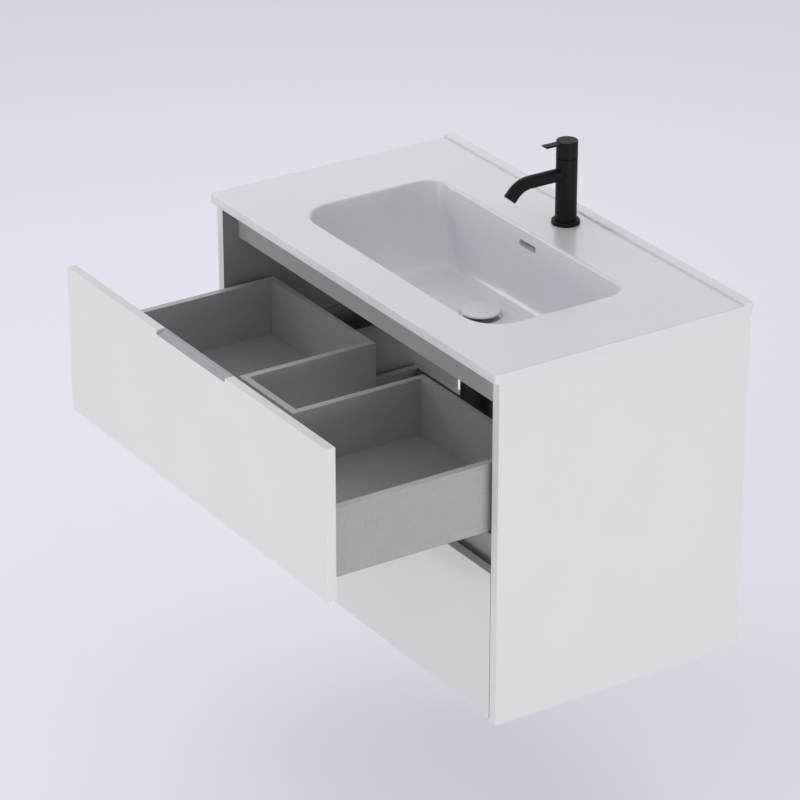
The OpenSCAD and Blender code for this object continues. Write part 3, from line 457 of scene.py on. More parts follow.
class Finishes:
    """Every finish of the vanity, by the name of its use."""

    LACQUER = Finish(
        "white_satin_lacquer", Slot.LACQUER,
        (0.80, 0.80, 0.805), (0.775, 0.775, 0.78), (0.36, 0.46),
        grain_scale=420.0, relief=6e-6, coat=0.15, coat_roughness=0.25,
    )
    GREY_BOARD = Finish(
        "grey_melamine", Slot.GREY_BOARD,
        (0.46, 0.46, 0.465), (0.41, 0.41, 0.415), (0.5, 0.6),
        grain_scale=900.0, relief=1e-5,
    )
    # Painted shade: the side panels' inner faces get a grey darker than the real board, standing in
    # for the shade inside the cabinet.
    SHADED_INNER_FACE = Finish(
        "grey_inner_face_painted_shade", Slot.LACQUER,
        (0.29, 0.29, 0.30), (0.25, 0.25, 0.26), (0.5, 0.6),
        grain_scale=900.0, relief=1e-5,
    )
    LINEN_UPRIGHT = Linen(
        "linen_melamine_upright", Slot.LINEN_BOARD,
        (0.44, 0.44, 0.45), (0.34, 0.34, 0.35), (0.5, 0.62),
        grain_scale=1500.0, relief=2e-5,
    )
    LINEN_LYING = Linen(
        "linen_melamine_lying", Slot.LINEN_BOARD,
        (0.44, 0.44, 0.45), (0.34, 0.34, 0.35), (0.5, 0.62),
        grain_scale=1500.0, relief=2e-5, lay=Lay.LYING,
    )
    # Painted light: a lighter grey on the up-facing top faces of the drawer boards, standing in for
    # light falling from above.
    LIT_TOP_FACE = Finish(
        "grey_top_face_painted_light", Slot.LINEN_BOARD,
        (0.56, 0.56, 0.57), (0.51, 0.51, 0.52), (0.45, 0.55),
        grain_scale=900.0, relief=1e-5,
    )
    BEECH = Finish(
        "beech_dowel", Slot.BEECH,
        (0.50, 0.30, 0.15), (0.38, 0.21, 0.10), (0.55, 0.7),
        grain_scale=900.0, stretch=(0.1, 1.0, 1.0), relief=4e-5,
    )
    ZINC = Finish(
        "zinc_plated_steel", Slot.ZINC_STEEL,
        (0.42, 0.43, 0.45), (0.34, 0.35, 0.37), (0.28, 0.42),
        grain_scale=260.0, relief=8e-6, metallic=1.0,
    )
    # Painted shade: a darker copy of the zinc for the runners inside the cabinet, standing in for
    # the shade they sit in.
    SHADED_RUNNER = Finish(
        "zinc_runner_painted_shade", Slot.ZINC_STEEL,
        (0.15, 0.155, 0.17), (0.12, 0.125, 0.14), (0.38, 0.52),
        grain_scale=260.0, relief=8e-6, metallic=0.8,
    )
    # White glazed ceramic; its cool blue tint is a painted reflection of bluish surroundings.
    CERAMIC = Finish(
        "white_glazed_ceramic_painted_cool_reflection", Slot.BASIN_CERAMIC,
        (0.785, 0.79, 0.83), (0.77, 0.775, 0.815), (0.30, 0.38),
        grain_scale=60.0, relief=1.2e-5, coat=0.35, coat_roughness=0.12,
    )
    BLACK = Finish(
        "matte_black_powder", Slot.TAP_BLACK,
        (0.008, 0.0082, 0.0086), (0.006, 0.0062, 0.0066), (0.45, 0.57),
        grain_scale=2600.0, relief=1.5e-5, specular=0.14,
    )
    BRASS = Finish(
        "turned_brass", Slot.BRASS,
        (0.62, 0.42, 0.16), (0.50, 0.33, 0.12), (0.25, 0.38),
        grain_scale=1200.0, stretch=(0.1, 0.1, 1.0), relief=1e-5, metallic=1.0,
    )
    RUBBER = Finish(
        "black_rubber", Slot.RUBBER,
        (0.022, 0.022, 0.022), (0.014, 0.014, 0.014), (0.6, 0.75),
        grain_scale=1500.0, relief=2e-5,
    )
    CARTRIDGE = Finish(
        "cream_moulding", Slot.CARTRIDGE_PLASTIC,
        (0.62, 0.59, 0.48), (0.56, 0.53, 0.43), (0.4, 0.5),
        grain_scale=800.0, relief=8e-6,
    )
    CLIP = Finish(
        "dark_grey_moulding", Slot.CLIP_PLASTIC,
        (0.055, 0.056, 0.06), (0.042, 0.043, 0.046), (0.45, 0.58),
        grain_scale=1600.0, relief=2e-5,
    )
    ALUMINIUM = Finish(
        "brushed_aluminium", Slot.GRIP_ALUMINIUM,
        (0.42, 0.43, 0.44), (0.34, 0.35, 0.36), (0.38, 0.5),
        grain_scale=1800.0, stretch=(0.02, 1.0, 1.0), relief=1e-5, metallic=0.6,
    )
    # A plastic moulding for the trap; its near-black colour is painted shade of the cabinet's dark
    # inside.
    TRAP = Finish(
        "trap_moulding_painted_shade", Slot.TRAP_PLASTIC,
        (0.030, 0.031, 0.034), (0.022, 0.023, 0.026), (0.38, 0.5),
        grain_scale=900.0, relief=1.5e-5,
    )
    CHROME = Finish(
        "polished_chrome", Slot.CHROME,
        (0.62, 0.63, 0.65), (0.58, 0.59, 0.61), (0.05, 0.1),
        grain_scale=200.0, relief=2e-6, metallic=1.0,
    )


def round_edges(mesh: Mesh, edges: list[bmesh.types.BMEdge], radius: float, segments: int) -> None:
    """Rounds edges of a bmesh.

    Args:
        mesh: the bmesh.
        edges: the edges.
        radius: their radius, in metres.
        segments: steps across an edge.
    """
    bmesh.ops.bevel(
        mesh, geom=edges, offset=radius, offset_type="OFFSET", segments=segments, profile=0.5,
        affect="EDGES", clamp_overlap=True, material=-1,
    )


def extrude(mesh: Mesh, way: tuple[float, float, float]) -> None:
    """Extrudes a flat bmesh into a closed shell whose faces point outwards.

    Args:
        mesh: the bmesh.
        way: how far its far end moves.
    """
    grown = bmesh.ops.extrude_face_region(mesh, geom=mesh.faces[:])["geom"]
    moved = [item for item in grown if isinstance(item, bmesh.types.BMVert)]
    bmesh.ops.translate(mesh, verts=moved, vec=way)
    bmesh.ops.recalc_face_normals(mesh, faces=mesh.faces)


@dataclass
class Workshop:
    """Makes pieces from the frame's nodes and puts them on their bodies.

    Attributes:
        nodes: the CAD nodes, by name.
        bodies: the name of each node's body.
        facing: the least cosine between a face's normal and the way that it is said to look.
        seam: the turn, in degrees, under which two triangles of a node are one flat face.
    """

    nodes: dict[str, bpy.types.Object]
    bodies: dict[str, str]
    facing: float = 0.99
    seam: float = 0.5

    def paint(self, node: str, finish: Finish) -> None:
        """Gives a CAD node a finish and keeps its shape.

        Args:
            node: the node's name.
            finish: its finish.
        """
        piece = self.nodes[node]
        piece.data.materials.clear()
        piece.data.materials.append(finish.build())
        LOG.info("painted %s: %s", node, finish.name)

    def hand_over(
        self, piece: bpy.types.Object, finish: Finish, *stands_for: str,
    ) -> bpy.types.Object:
        """Shades and dresses a new piece, puts it on its body and hides the nodes it stands for.

        Args:
            piece: the piece.
            finish: its finish.
            *stands_for: names of nodes, of which the first gives the body.

        Returns:
            The piece.
        """
        piece.modifiers.new("weighting", "WEIGHTED_NORMAL").keep_sharp = True
        piece.data.materials.clear()
        piece.data.materials.append(finish.build())
        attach(piece, self.bodies[stands_for[0]])
        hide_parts(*stands_for)
        LOG.info("built %s: %d faces, %s", piece.name, len(piece.data.polygons), finish.name)
        return piece

    @staticmethod
    def publish(mesh: Mesh, name: str, smooth: float = 35.0) -> bpy.types.Object:
        """Turns a bmesh into an object with smooth shading up to an angle.

        Args:
            mesh: the bmesh, which is freed.
            name: the object's name.
            smooth: edges sharper than this many degrees stay sharp.

        Returns:
            The object.
        """
        data = bpy.data.meshes.new(name)
        mesh.to_mesh(data)
        mesh.free()
        data.shade_smooth()
        data.set_sharp_from_angle(angle=math.radians(smooth))
        piece = bpy.data.objects.new(name, data)
        bpy.context.scene.collection.objects.link(piece)
        return piece

    def face(self, piece: bpy.types.Object, finish: Finish, side: Vector) -> None:
        """Gives the faces that look one way a finish of their own.

        Args:
            piece: the piece.
            finish: their finish.
            side: the way that they look.
        """
        piece.data.materials.append(finish.build())
        for face in piece.data.polygons:
            if face.normal.dot(side) > self.facing:
                face.material_index = len(piece.data.materials) - 1

    def copied(self, node: str) -> Mesh:
        """Copies a node's mesh, joins its loose triangles and clears the flat seams.

        Args:
            node: the node's name.

        Returns:
            The bmesh.
        """
        mesh = bmesh.new()
        mesh.from_mesh(self.nodes[node].data)
        bmesh.ops.remove_doubles(mesh, verts=mesh.verts, dist=MERGE_DISTANCE)
        bmesh.ops.dissolve_limit(
            mesh, angle_limit=math.radians(self.seam), verts=mesh.verts, edges=mesh.edges,
        )
        return mesh

    def worked(self, mesh: Mesh, tool: Mesh, operation: str) -> Mesh:
        """Adds one closed shape to another, or cuts it out.

        Args:
            mesh: the shape to change, which is freed.
            tool: the other shape, which is freed.
            operation: UNION or DIFFERENCE.

        Returns:
            The changed bmesh.
        """
        body, other = self.publish(mesh, "worked_body"), self.publish(tool, "worked_tool")
        change = body.modifiers.new("change", "BOOLEAN")
        change.object = other
        change.operation = operation
        change.solver = "EXACT"
        graph = bpy.context.evaluated_depsgraph_get()
        result = bmesh.new()
        result.from_mesh(body.evaluated_get(graph).to_mesh())
        bmesh.ops.remove_doubles(result, verts=result.verts, dist=MERGE_DISTANCE)
        for piece in (body, other):
            data = piece.data
            bpy.data.objects.remove(piece)
            bpy.data.meshes.remove(data)
        return result

    def soften(
        self, node: str, finish: Finish, radius: float, segments: int = 2, sharp: float = 40.0,
    ) -> bpy.types.Object:
        """Makes a copy of a node with rounded edges.

        Args:
            node: the node's name.
            finish: its finish.
            radius: the edge radius, in metres.
            segments: steps across an edge.
            sharp: only edges that turn by more than this many degrees are rounded.

        Returns:
            The piece.
        """
        mesh = self.copied(node)
        limit = math.radians(sharp)
        edges = [
            edge for edge in mesh.edges
            if len(edge.link_faces) == 2 and edge.calc_face_angle() > limit
        ]
        round_edges(mesh, edges, radius, segments)
        return self.hand_over(self.publish(mesh, f"{node}_piece"), finish, node)


@dataclass
class Carcass:
    """The fixed cabinet: its boards, dowels and wall fixing.

    Attributes:
        edge: radius of a lacquered edge.
        inner_edge: radius of a melamine edge.
        steel_edge: radius of a steel edge.
        panels: the side panels, each with the way along X to the inside.
        boards: the grey boards.
        fixing: the steel pieces on the wall and in the corners.
    """

    edge: float = 0.7 * MM
    inner_edge: float = 0.5 * MM
    steel_edge: float = 0.3 * MM
    panels: dict[str, float] = field(
        default_factory=lambda: {"side_panel_left": 1.0, "side_panel_right": -1.0},
    )
    boards: tuple[str, ...] = (
        "cabinet_floor", "top_front_rail", "middle_front_rail", "upper_back_rail",
        "lower_back_rail",
    )
    fixing: tuple[str, ...] = ("wall_plates", "hanger_hooks", "hanger_bodies", "hanger_adjusters")

    def build(self, shop: Workshop) -> None:
        """Builds and dresses the cabinet's pieces.

        Args:
            shop: makes the pieces.
        """
        for node, inward in self.panels.items():
            panel = shop.soften(node, Finishes.LACQUER, self.edge, segments=3)
            # The inward faces get the darker grey, which is painted shade of the cabinet's inside.
            shop.face(panel, Finishes.SHADED_INNER_FACE, Vector((inward, 0.0, 0.0)))
        for node in self.boards:
            shop.soften(node, Finishes.GREY_BOARD, self.inner_edge)
        for node in self.fixing:
            shop.soften(node, Finishes.ZINC, self.steel_edge)
        shop.paint("carcass_dowels", Finishes.BEECH)


@dataclass
class Runners:
    """The three-part runners under both drawers, with their screws.

    Attributes:
        members: the steel rails.
    """

    members: tuple[str, ...] = (
        "upper_cabinet_rails", "lower_cabinet_rails", "upper_middle_rails", "lower_middle_rails",
        "upper_drawer_rails", "lower_drawer_rails",
    )

    def build(self, shop: Workshop) -> None:
        """Dresses the runners.

        Args:
            shop: paints the nodes.
        """
        for node in self.members:
            # The runners get the darker zinc, which is painted shade of the cabinet's inside.
            shop.paint(node, Finishes.SHADED_RUNNER)
        shop.paint("runner_screws", Finishes.ZINC)


@dataclass
class Drawer:
    """One drawer: its front, grip, box and catches.

    Attributes:
        prefix: upper or lower.
        upright: the box's standing boards.
        front_edge: radius of the front's edges.
        box_edge: radius of the box boards' edges.
        grip_edge: radius of the grip's edges.
    """

    prefix: str
    upright: tuple[str, ...]
    front_edge: float = 0.9 * MM
    box_edge: float = 0.5 * MM
    grip_edge: float = 0.25 * MM

    def build(self, shop: Workshop) -> None:
        """Builds and dresses the drawer's pieces.

        Args:
            shop: makes the pieces.
        """
        shop.soften(f"{self.prefix}_front", Finishes.LACQUER, self.front_edge, segments=3)
        shop.soften(f"{self.prefix}_grip", Finishes.ALUMINIUM, self.grip_edge)
        for part in self.upright:
            board = shop.soften(f"{self.prefix}_{part}", Finishes.LINEN_UPRIGHT, self.box_edge)
            # The up-facing top faces get the lighter grey, which is painted light from above.
            shop.face(board, Finishes.LIT_TOP_FACE, Vector((0.0, 0.0, 1.0)))
        shop.soften(f"{self.prefix}_floor", Finishes.LINEN_LYING, self.box_edge)
        shop.soften(f"{self.prefix}_clips", Finishes.CLIP, self.box_edge)


@dataclass(frozen=True)
class Ring:
    """A rounded rectangle at one height, with its own corner radii at the front and the back.

    Attributes:
        half: half its width.
        front: the Y of its front side.
        back: the Y of its back side.
        front_radius: radius of its two front corners.
        back_radius: radius of its two back corners.
        height: its Z.
    """

    half: float
    front: float
    back: float
    front_radius: float
    back_radius: float
    height: float

    @classmethod
    def circle(cls, middle: float, radius: float, height: float) -> Ring:
        """Makes a round ring in the middle of the width.

        Args:
            middle: the Y of its centre.
            radius: its radius.
            height: its Z.

        Returns:
            The ring.
        """
        return cls(radius, middle - radius, middle + radius, radius, radius, height)

    def place(self, turn: float) -> Vector:
        """Gives the ring's point that faces a direction.

        Args:
            turn: the direction, in radians from +X.

        Returns:
            The point.
        """
        x, y = math.cos(turn), math.sin(turn)
        radius = self.back_radius if y > 0 else self.front_radius
        middle = self.back - radius if y > 0 else self.front + radius
        side = math.copysign(self.half - radius, x)
        return Vector((side + radius * x, middle + radius * y, self.height))


class Loft:
    """Draws a skin through a stack of rings, by extruding the edges of the last one."""

    def __init__(self, first: Ring, segments: int = 96) -> None:
        """Starts the skin.

        Args:
            first: the first ring.
            segments: points on each ring.
        """
        self.mesh = bmesh.new()
        self.turn = self.mesh.verts.layers.float.new("turn")
        bmesh.ops.create_circle(self.mesh, segments=segments, radius=1.0)
        half_step = math.pi / segments
        for vert in self.mesh.verts:
            vert[self.turn] = math.atan2(vert.co.y, vert.co.x) + half_step
        self.edges = list(self.mesh.edges)
        self.settle(first)

    def settle(self, ring: Ring) -> None:
        """Moves the last ring's points to their places.

        Args:
            ring: where they go.
        """
        for vert in {vert for edge in self.edges for vert in edge.verts}:
            vert.co = ring.place(vert[self.turn])

    def draw(self, *rings: Ring) -> None:
        """Draws the skin on to more rings.

        Args:
            *rings: the rings, in order.
        """
        for ring in rings:
            grown = bmesh.ops.extrude_edge_only(self.mesh, edges=self.edges)["geom"]
            fresh = {item for item in grown if isinstance(item, bmesh.types.BMVert)}
            self.edges = [edge for edge in self.mesh.edges if set(edge.verts) <= fresh]
            self.settle(ring)

    def closed(self) -> Mesh:
        """Joins the last ring to the first, where they meet, and turns the faces outwards.

        Returns:
            The finished bmesh.
        """
        bmesh.ops.remove_doubles(self.mesh, verts=self.mesh.verts, dist=MERGE_DISTANCE)
        bmesh.ops.recalc_face_normals(self.mesh, faces=self.mesh.faces)
        self.mesh.verts.layers.float.remove(self.turn)
        return self.mesh


@dataclass
class Washbasin:
    """The cast washbasin: slab, bowl with a rolled rim, drain, overflow and upstand.

    Every drop is measured down from the top of the slab, every Y from the wall, and every half
    width from the middle.

    Attributes:
        slab: the slab's thickness.
        corner: radius of its corners, seen from above.
        edge_round: radius of its top edge, and the width of the drain's countersink.
        upstand_height: of the strip along the wall, above the slab.
        upstand_depth: the strip's depth.
        upstand_bevel: radius of its front top edge.
        crest_segments: steps across that edge.
        bowl_half: half the bowl's width at the rim.
        bowl_front: the Y of the rim's front.
        bowl_back: the Y of the rim's back.
        bowl_depth: the drop of the bowl's floor.
        wall: thickness of the bowl's wall.
        rim_roll: radius of the rolled rim.
        rim_radii: radii of the rim's front and back corners.
        floor_radii: radii of the same corners at the floor.
        side: how far a side wall draws in, by its slope and by its fillet.
        back: the same for the back wall.
        front: the same for the front wall.
        roundness: the power of the wall's curve; 2 is an ellipse, and more is squarer.
        roll_steps: steps round the rolled rim; the slab's edge has half as many.
        wall_steps: steps down the wall; its outside has half as many.
        dish: how far the floor dips to the drain.
        drain: the Y of the drain's centre.
        seat_radius: radius of the drain's upper edge.
        seat_round: how far the floor rises outside that edge and drops inside it.
        ledge_radius: radius of the ledge that the waste's flange lies on.
        ledge_drop: from the edge down to the ledge.
        hole_radius: radius of the hole through the ledge.
        boss_radius: radius of the boss under the bowl.
        boss_height: its height.
        tap: the Y of the tap's hole.
        tap_hole: its radius.
        tap_segments: points round it.
        slot_width: width of the overflow's slot.
        slot_height: its height.
        slot_drop: the drop of its middle.
        slot_segments: points round its two ends.
        slot_edge: radius of its mouth's edge.
        mouth_segments: steps across that edge.
        duct_front: the Y of the front of the overflow's hollow.
        duct_inside: depth of the hollow.
        duct_wall: thickness of the casting round it.
        duct_leg: height of its run under the bowl, to the drain.
        hair: a distance too small to see, by which shapes are kept from touching face to face.
        smooth: edges that turn by more than this many degrees stay sharp.
        low: the lowest corner of the CAD washbasin.
        top: the Z of the slab's top.
        under: the Z of the bowl's underside.
        half: half the slab's width.
    """

    slab: float = 15.5 * MM
    corner: float = 5.0 * MM
    edge_round: float = 2.0 * MM
    upstand_height: float = 3.5 * MM
    upstand_depth: float = 17.0 * MM
    upstand_bevel: float = 1.5 * MM
    crest_segments: int = 4
    bowl_half: float = 270.0 * MM
    bowl_front: float = -391.0 * MM
    bowl_back: float = -121.0 * MM
    bowl_depth: float = 116.0 * MM
    wall: float = 11.0 * MM
    rim_roll: float = 6.0 * MM
    rim_radii: tuple[float, float] = (62.1 * MM, 41.85 * MM)
    floor_radii: tuple[float, float] = (55.9 * MM, 48.06 * MM)
    side: tuple[float, float] = (35.1 * MM, 75.06 * MM)
    back: tuple[float, float] = (12.96 * MM, 28.08 * MM)
    front: tuple[float, float] = (25.11 * MM, 72.09 * MM)
    roundness: float = 2.5
    roll_steps: int = 10
    wall_steps: int = 34
    dish: float = 3.5 * MM
    drain: float = -215.5 * MM
    seat_radius: float = 34.0 * MM
    seat_round: float = 0.5 * MM
    ledge_radius: float = 32.5 * MM
    ledge_drop: float = 3.0 * MM
    hole_radius: float = 23.0 * MM
    boss_radius: float = 39.0 * MM
    boss_height: float = 14.0 * MM
    tap: float = -57.0 * MM
    tap_hole: float = 17.5 * MM
    tap_segments: int = 48
    slot_width: float = 45.0 * MM
    slot_height: float = 10.0 * MM
    slot_drop: float = 23.5 * MM
    slot_segments: int = 36
    slot_edge: float = 1.2 * MM
    mouth_segments: int = 3
    duct_front: float = -115.0 * MM
    duct_inside: float = 9.0 * MM
    duct_wall: float = 5.0 * MM
    duct_leg: float = 8.0 * MM
    hair: float = 0.02 * MM
    smooth: float = 32.0
    low: Vector = field(init=False)
    top: float = field(init=False)
    under: float = field(init=False)
    half: float = field(init=False)

    def drawn_in(self, reach: tuple[float, float], angle: float) -> float:
        """Gives how far a wall of the bowl has drawn in, at an angle of its sweep.

        Args:
            reach: the wall's slope and its fillet.
            angle: 0 at the rim and a quarter turn at the floor, in radians.

        Returns:
            The distance.
        """
        power = 2.0 / self.roundness
        fillet = 1.0 - max(math.cos(angle), 0.0) ** power
        return reach[0] * math.sin(angle) ** power + reach[1] * fillet

    def wall_ring(self, angle: float, grow: float) -> Ring:
        """Gives a ring of the bowl's wall.

        Args:
            angle: 0 at the rim and a quarter turn at the floor, in radians.
            grow: how far outside the bowl's surface.

        Returns:
            The ring.
        """
        share = math.sin(angle) ** (2.0 / self.roundness)
        inset = self.rim_roll - grow
        front_radius, back_radius = (
            (1 - share) * rim + share * low - inset
            for rim, low in zip(self.rim_radii, self.floor_radii)
        )
        return Ring(
            self.bowl_half - inset - self.drawn_in(self.side, angle),
            self.bowl_front + inset + self.drawn_in(self.front, angle),
            self.bowl_back - inset - self.drawn_in(self.back, angle),
            front_radius,
            back_radius,
            self.top - self.rim_roll - share * (self.bowl_depth - self.rim_roll + grow),
        )

    def rim_ring(self, angle: float) -> Ring:
        """Gives a ring of the rolled rim.

        Args:
            angle: 0 on the slab and a quarter turn on the bowl's wall, in radians.

        Returns:
            The ring.
        """
        inset = self.rim_roll * math.sin(angle)
        return Ring(
            self.bowl_half - inset, self.bowl_front + inset, self.bowl_back - inset,
            self.rim_radii[0] - inset, self.rim_radii[1] - inset,
            self.top - self.rim_roll * (1.0 - math.cos(angle)),
        )

    def slab_ring(self, inset: float, drop: float) -> Ring:
        """Gives a ring of the slab's edge.

        Args:
            inset: how far inside the slab's outline.
            drop: how far below its top.

        Returns:
            The ring.
        """
        radius = self.corner - inset
        return Ring(self.half - inset, self.low.y + inset, -inset, radius, radius, self.top - drop)

    @staticmethod
    def sweep(steps: int) -> list[float]:
        """Divides a quarter turn.

        Args:
            steps: the number of equal steps.

        Returns:
            The angles from none to a quarter, in radians.
        """
        return [QUARTER_TURN * step / steps for step in range(steps + 1)]

    def cast(self) -> Mesh:
        """Draws the slab, the bowl, the drain and the underside as one closed skin.

        Returns:
            The bmesh.
        """
        seat = self.top - self.bowl_depth - self.dish
        foot = self.slab_ring(0.0, self.slab)
        skin = Loft(foot)
        for angle in self.sweep(self.roll_steps // 2):
            inset = self.edge_round * (1 - math.cos(angle))
            skin.draw(self.slab_ring(inset, self.edge_round * (1 - math.sin(angle))))
        skin.draw(*(self.rim_ring(angle) for angle in self.sweep(self.roll_steps)))
        skin.draw(*(self.wall_ring(angle, 0.0) for angle in self.sweep(self.wall_steps)[1:]))
        skin.draw(
            *(Ring.circle(self.drain, radius, height) for radius, height in (
                (self.seat_radius + self.edge_round, seat + self.seat_round),
                (self.seat_radius, seat),
                (self.ledge_radius, seat - self.seat_round),
                (self.ledge_radius, seat - self.ledge_drop),
                (self.hole_radius, seat - self.ledge_drop),
                (self.hole_radius, self.under - self.boss_height),
                (self.boss_radius, self.under - self.boss_height),
                (self.boss_radius, self.under),
            )),
            self.wall_ring(QUARTER_TURN, self.wall),
        )
        for angle in reversed(self.sweep(self.wall_steps // 2)[:-1]):
            ring = self.wall_ring(angle, self.wall)
            if ring.height < self.top - self.slab:
                skin.draw(ring)
        skin.draw(self.wall_ring(self.slab_angle(), self.wall), foot)
        return skin.closed()

    def slab_angle(self) -> float:
        """Finds where the bowl's outside passes the slab's underside.

        Returns:
            The angle of the wall's sweep there, in radians.
        """
        share = (self.slab - self.rim_roll) / (self.bowl_depth - self.rim_roll + self.wall)
        return math.asin(share ** (self.roundness / 2.0))

    def upstand(self) -> Mesh:
        """Makes the low strip along the wall.

        Returns:
            The bmesh.
        """
        mesh = bmesh.new()
        bmesh.ops.create_cube(mesh, size=1.0)
        width, height = 2 * (self.half - self.hair), self.upstand_height + self.slab / 2
        middle = -self.upstand_depth / 2
        bmesh.ops.scale(mesh, verts=mesh.verts, vec=(width, self.upstand_depth, height))
        bmesh.ops.translate(mesh, verts=mesh.verts, vec=(
            0.0, middle - self.hair, self.top + self.upstand_height - height / 2,
        ))
        crest = [
            edge for edge in mesh.edges
            if all(vert.co.z > self.top and vert.co.y < middle for vert in edge.verts)
        ]
        round_edges(mesh, crest, self.upstand_bevel, self.crest_segments)
        return mesh

    @staticmethod
    def prism(outline: list[tuple[float, float]], width: float) -> Mesh:
        """Runs an outline of Y and Z along X, centred.

        Args:
            outline: its corners.
            width: the length of the run.

        Returns:
            The bmesh.
        """
        mesh = bmesh.new()
        mesh.faces.new([mesh.verts.new((-width / 2, y, z)) for y, z in outline])
        extrude(mesh, (width, 0.0, 0.0))
        return mesh

    def duct(self) -> Mesh:
        """Makes the casting round the overflow's way; its front lies within the bowl's wall.

        Returns:
            The bmesh.
        """
        low = self.under - self.boss_height
        back = self.duct_front + self.duct_inside + self.duct_wall
        chamfer = self.duct_inside + self.duct_wall
        turns = self.sweep(self.wall_steps // 2)
        inside = [self.wall_ring(angle, self.wall / 2) for angle in turns]
        inside = [ring for ring in inside if ring.height < self.top - self.slab / 2]
        return self.prism(
            [(ring.back, ring.height) for ring in inside] + [
                (self.drain, inside[-1].height), (self.drain, low), (back - chamfer, low),
                (back, low + chamfer), (back, inside[0].height),
            ],
            self.slot_width + 2 * self.duct_wall,
        )

    def duct_way(self) -> Mesh:
        """Makes the hollow of the duct.

        Returns:
            The bmesh.
        """
        low = self.under - self.boss_height + self.duct_wall
        high = self.top - self.slot_drop + self.slot_height / 2
        back = self.duct_front + self.duct_inside
        return self.prism(
            [
                (self.duct_front, high), (self.duct_front, low + self.duct_leg),
                (self.drain, low + self.duct_leg), (self.drain, low), (back, low), (back, high),
            ],
            self.slot_width,
        )

    def slot(self) -> Mesh:
        """Makes the hollow of the overflow's slot.

        Returns:
            The bmesh.
        """
        radius = self.slot_height / 2
        flat = self.slot_width / 2 - radius
        mesh = bmesh.new()
        bmesh.ops.create_circle(mesh, cap_ends=True, segments=self.slot_segments, radius=radius)
        upright = Matrix.Rotation(QUARTER_TURN, 3, "X")
        bmesh.ops.rotate(mesh, verts=mesh.verts, cent=(0, 0, 0), matrix=upright)
        for vert in mesh.verts:
            vert.co.x += math.copysign(flat, vert.co.x)
        start = self.bowl_back - self.rim_roll - 2 * self.back[0]
        bmesh.ops.translate(mesh, verts=mesh.verts, vec=(0.0, start, self.top - self.slot_drop))
        extrude(mesh, (0.0, self.duct_front + self.duct_inside / 2 - start, 0.0))
        return mesh

    def tap_way(self) -> Mesh:
        """Makes the hollow of the tap's hole.

        Returns:
            The bmesh.
        """
        mesh = bmesh.new()
        bmesh.ops.create_cone(
            mesh, cap_ends=True, segments=self.tap_segments, radius1=self.tap_hole,
            radius2=self.tap_hole, depth=2 * self.slab,
        )
        bmesh.ops.translate(mesh, verts=mesh.verts, vec=(0.0, self.tap, self.top - self.slab / 2))
        return mesh

    def round_slot(self, mesh: Mesh) -> None:
        """Rounds the slot's mouth in the bowl's back wall.

        Args:
            mesh: the washbasin.
        """
        middle = self.top - self.slot_drop
        wide, high = self.slot_width / 2 + self.hair, self.slot_height / 2 + self.hair
        near, far = self.bowl_back - self.rim_roll - self.back[0], self.bowl_back - self.hair
        mouth = [
            edge for edge in mesh.edges
            if len(edge.link_faces) == 2
            and edge.calc_face_angle() > math.radians(self.smooth)
            and all(
                abs(vert.co.x) < wide and abs(vert.co.z - middle) < high and near < vert.co.y < far
                for vert in edge.verts
            )
        ]
        round_edges(mesh, mouth, self.slot_edge, self.mouth_segments)

    def build(self, shop: Workshop) -> None:
        """Builds and dresses the washbasin.

        Args:
            shop: makes the piece.
        """
        self.low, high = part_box("washbasin")
        self.top = high[2] - self.upstand_height
        self.under = self.top - self.bowl_depth - self.wall
        self.half = high[0]
        steps = (
            (self.upstand(), "UNION"), (self.duct(), "UNION"), (self.duct_way(), "DIFFERENCE"),
            (self.slot(), "DIFFERENCE"), (self.tap_way(), "DIFFERENCE"),
        )
        mesh = self.cast()
        for tool, operation in steps:
            mesh = shop.worked(mesh, tool, operation)
        self.round_slot(mesh)
        piece = shop.publish(mesh, "washbasin_casting", self.smooth)
        # The ceramic's blue tint is a painted cool reflection.
        shop.hand_over(piece, Finishes.CERAMIC, "washbasin")


@dataclass
class Tap:
    """The single-lever tap, above and below the deck.

    Attributes:
        edge: radius of its edges.
        aerator_edge: radius of the aerator's edges.
        black: the powder-coated pieces.
        others: the finish of each piece inside the tap and below the deck.
    """

    edge: float = 0.35 * MM
    aerator_edge: float = 0.175 * MM
    black: tuple[str, ...] = ("tap_body", "tap_flange", "tap_spout", "tap_cap", "tap_lever")
    others: dict[str, Finish] = field(
        default_factory=lambda: {
            "tap_cartridge": Finishes.CARTRIDGE,
            "tap_stem": Finishes.ZINC,
            "tap_shank": Finishes.BRASS,
            "tap_washer": Finishes.RUBBER,
            "tap_nut": Finishes.BRASS,
        },
    )

    def build(self, shop: Workshop) -> None:
        """Builds and dresses the tap's pieces.

        Args:
            shop: makes the pieces.
        """
        for node in self.black:
            shop.soften(node, Finishes.BLACK, self.edge)
        shop.soften("tap_aerator", Finishes.CLIP, self.aerator_edge)
        for node, finish in self.others.items():
            shop.soften(node, finish, self.edge)


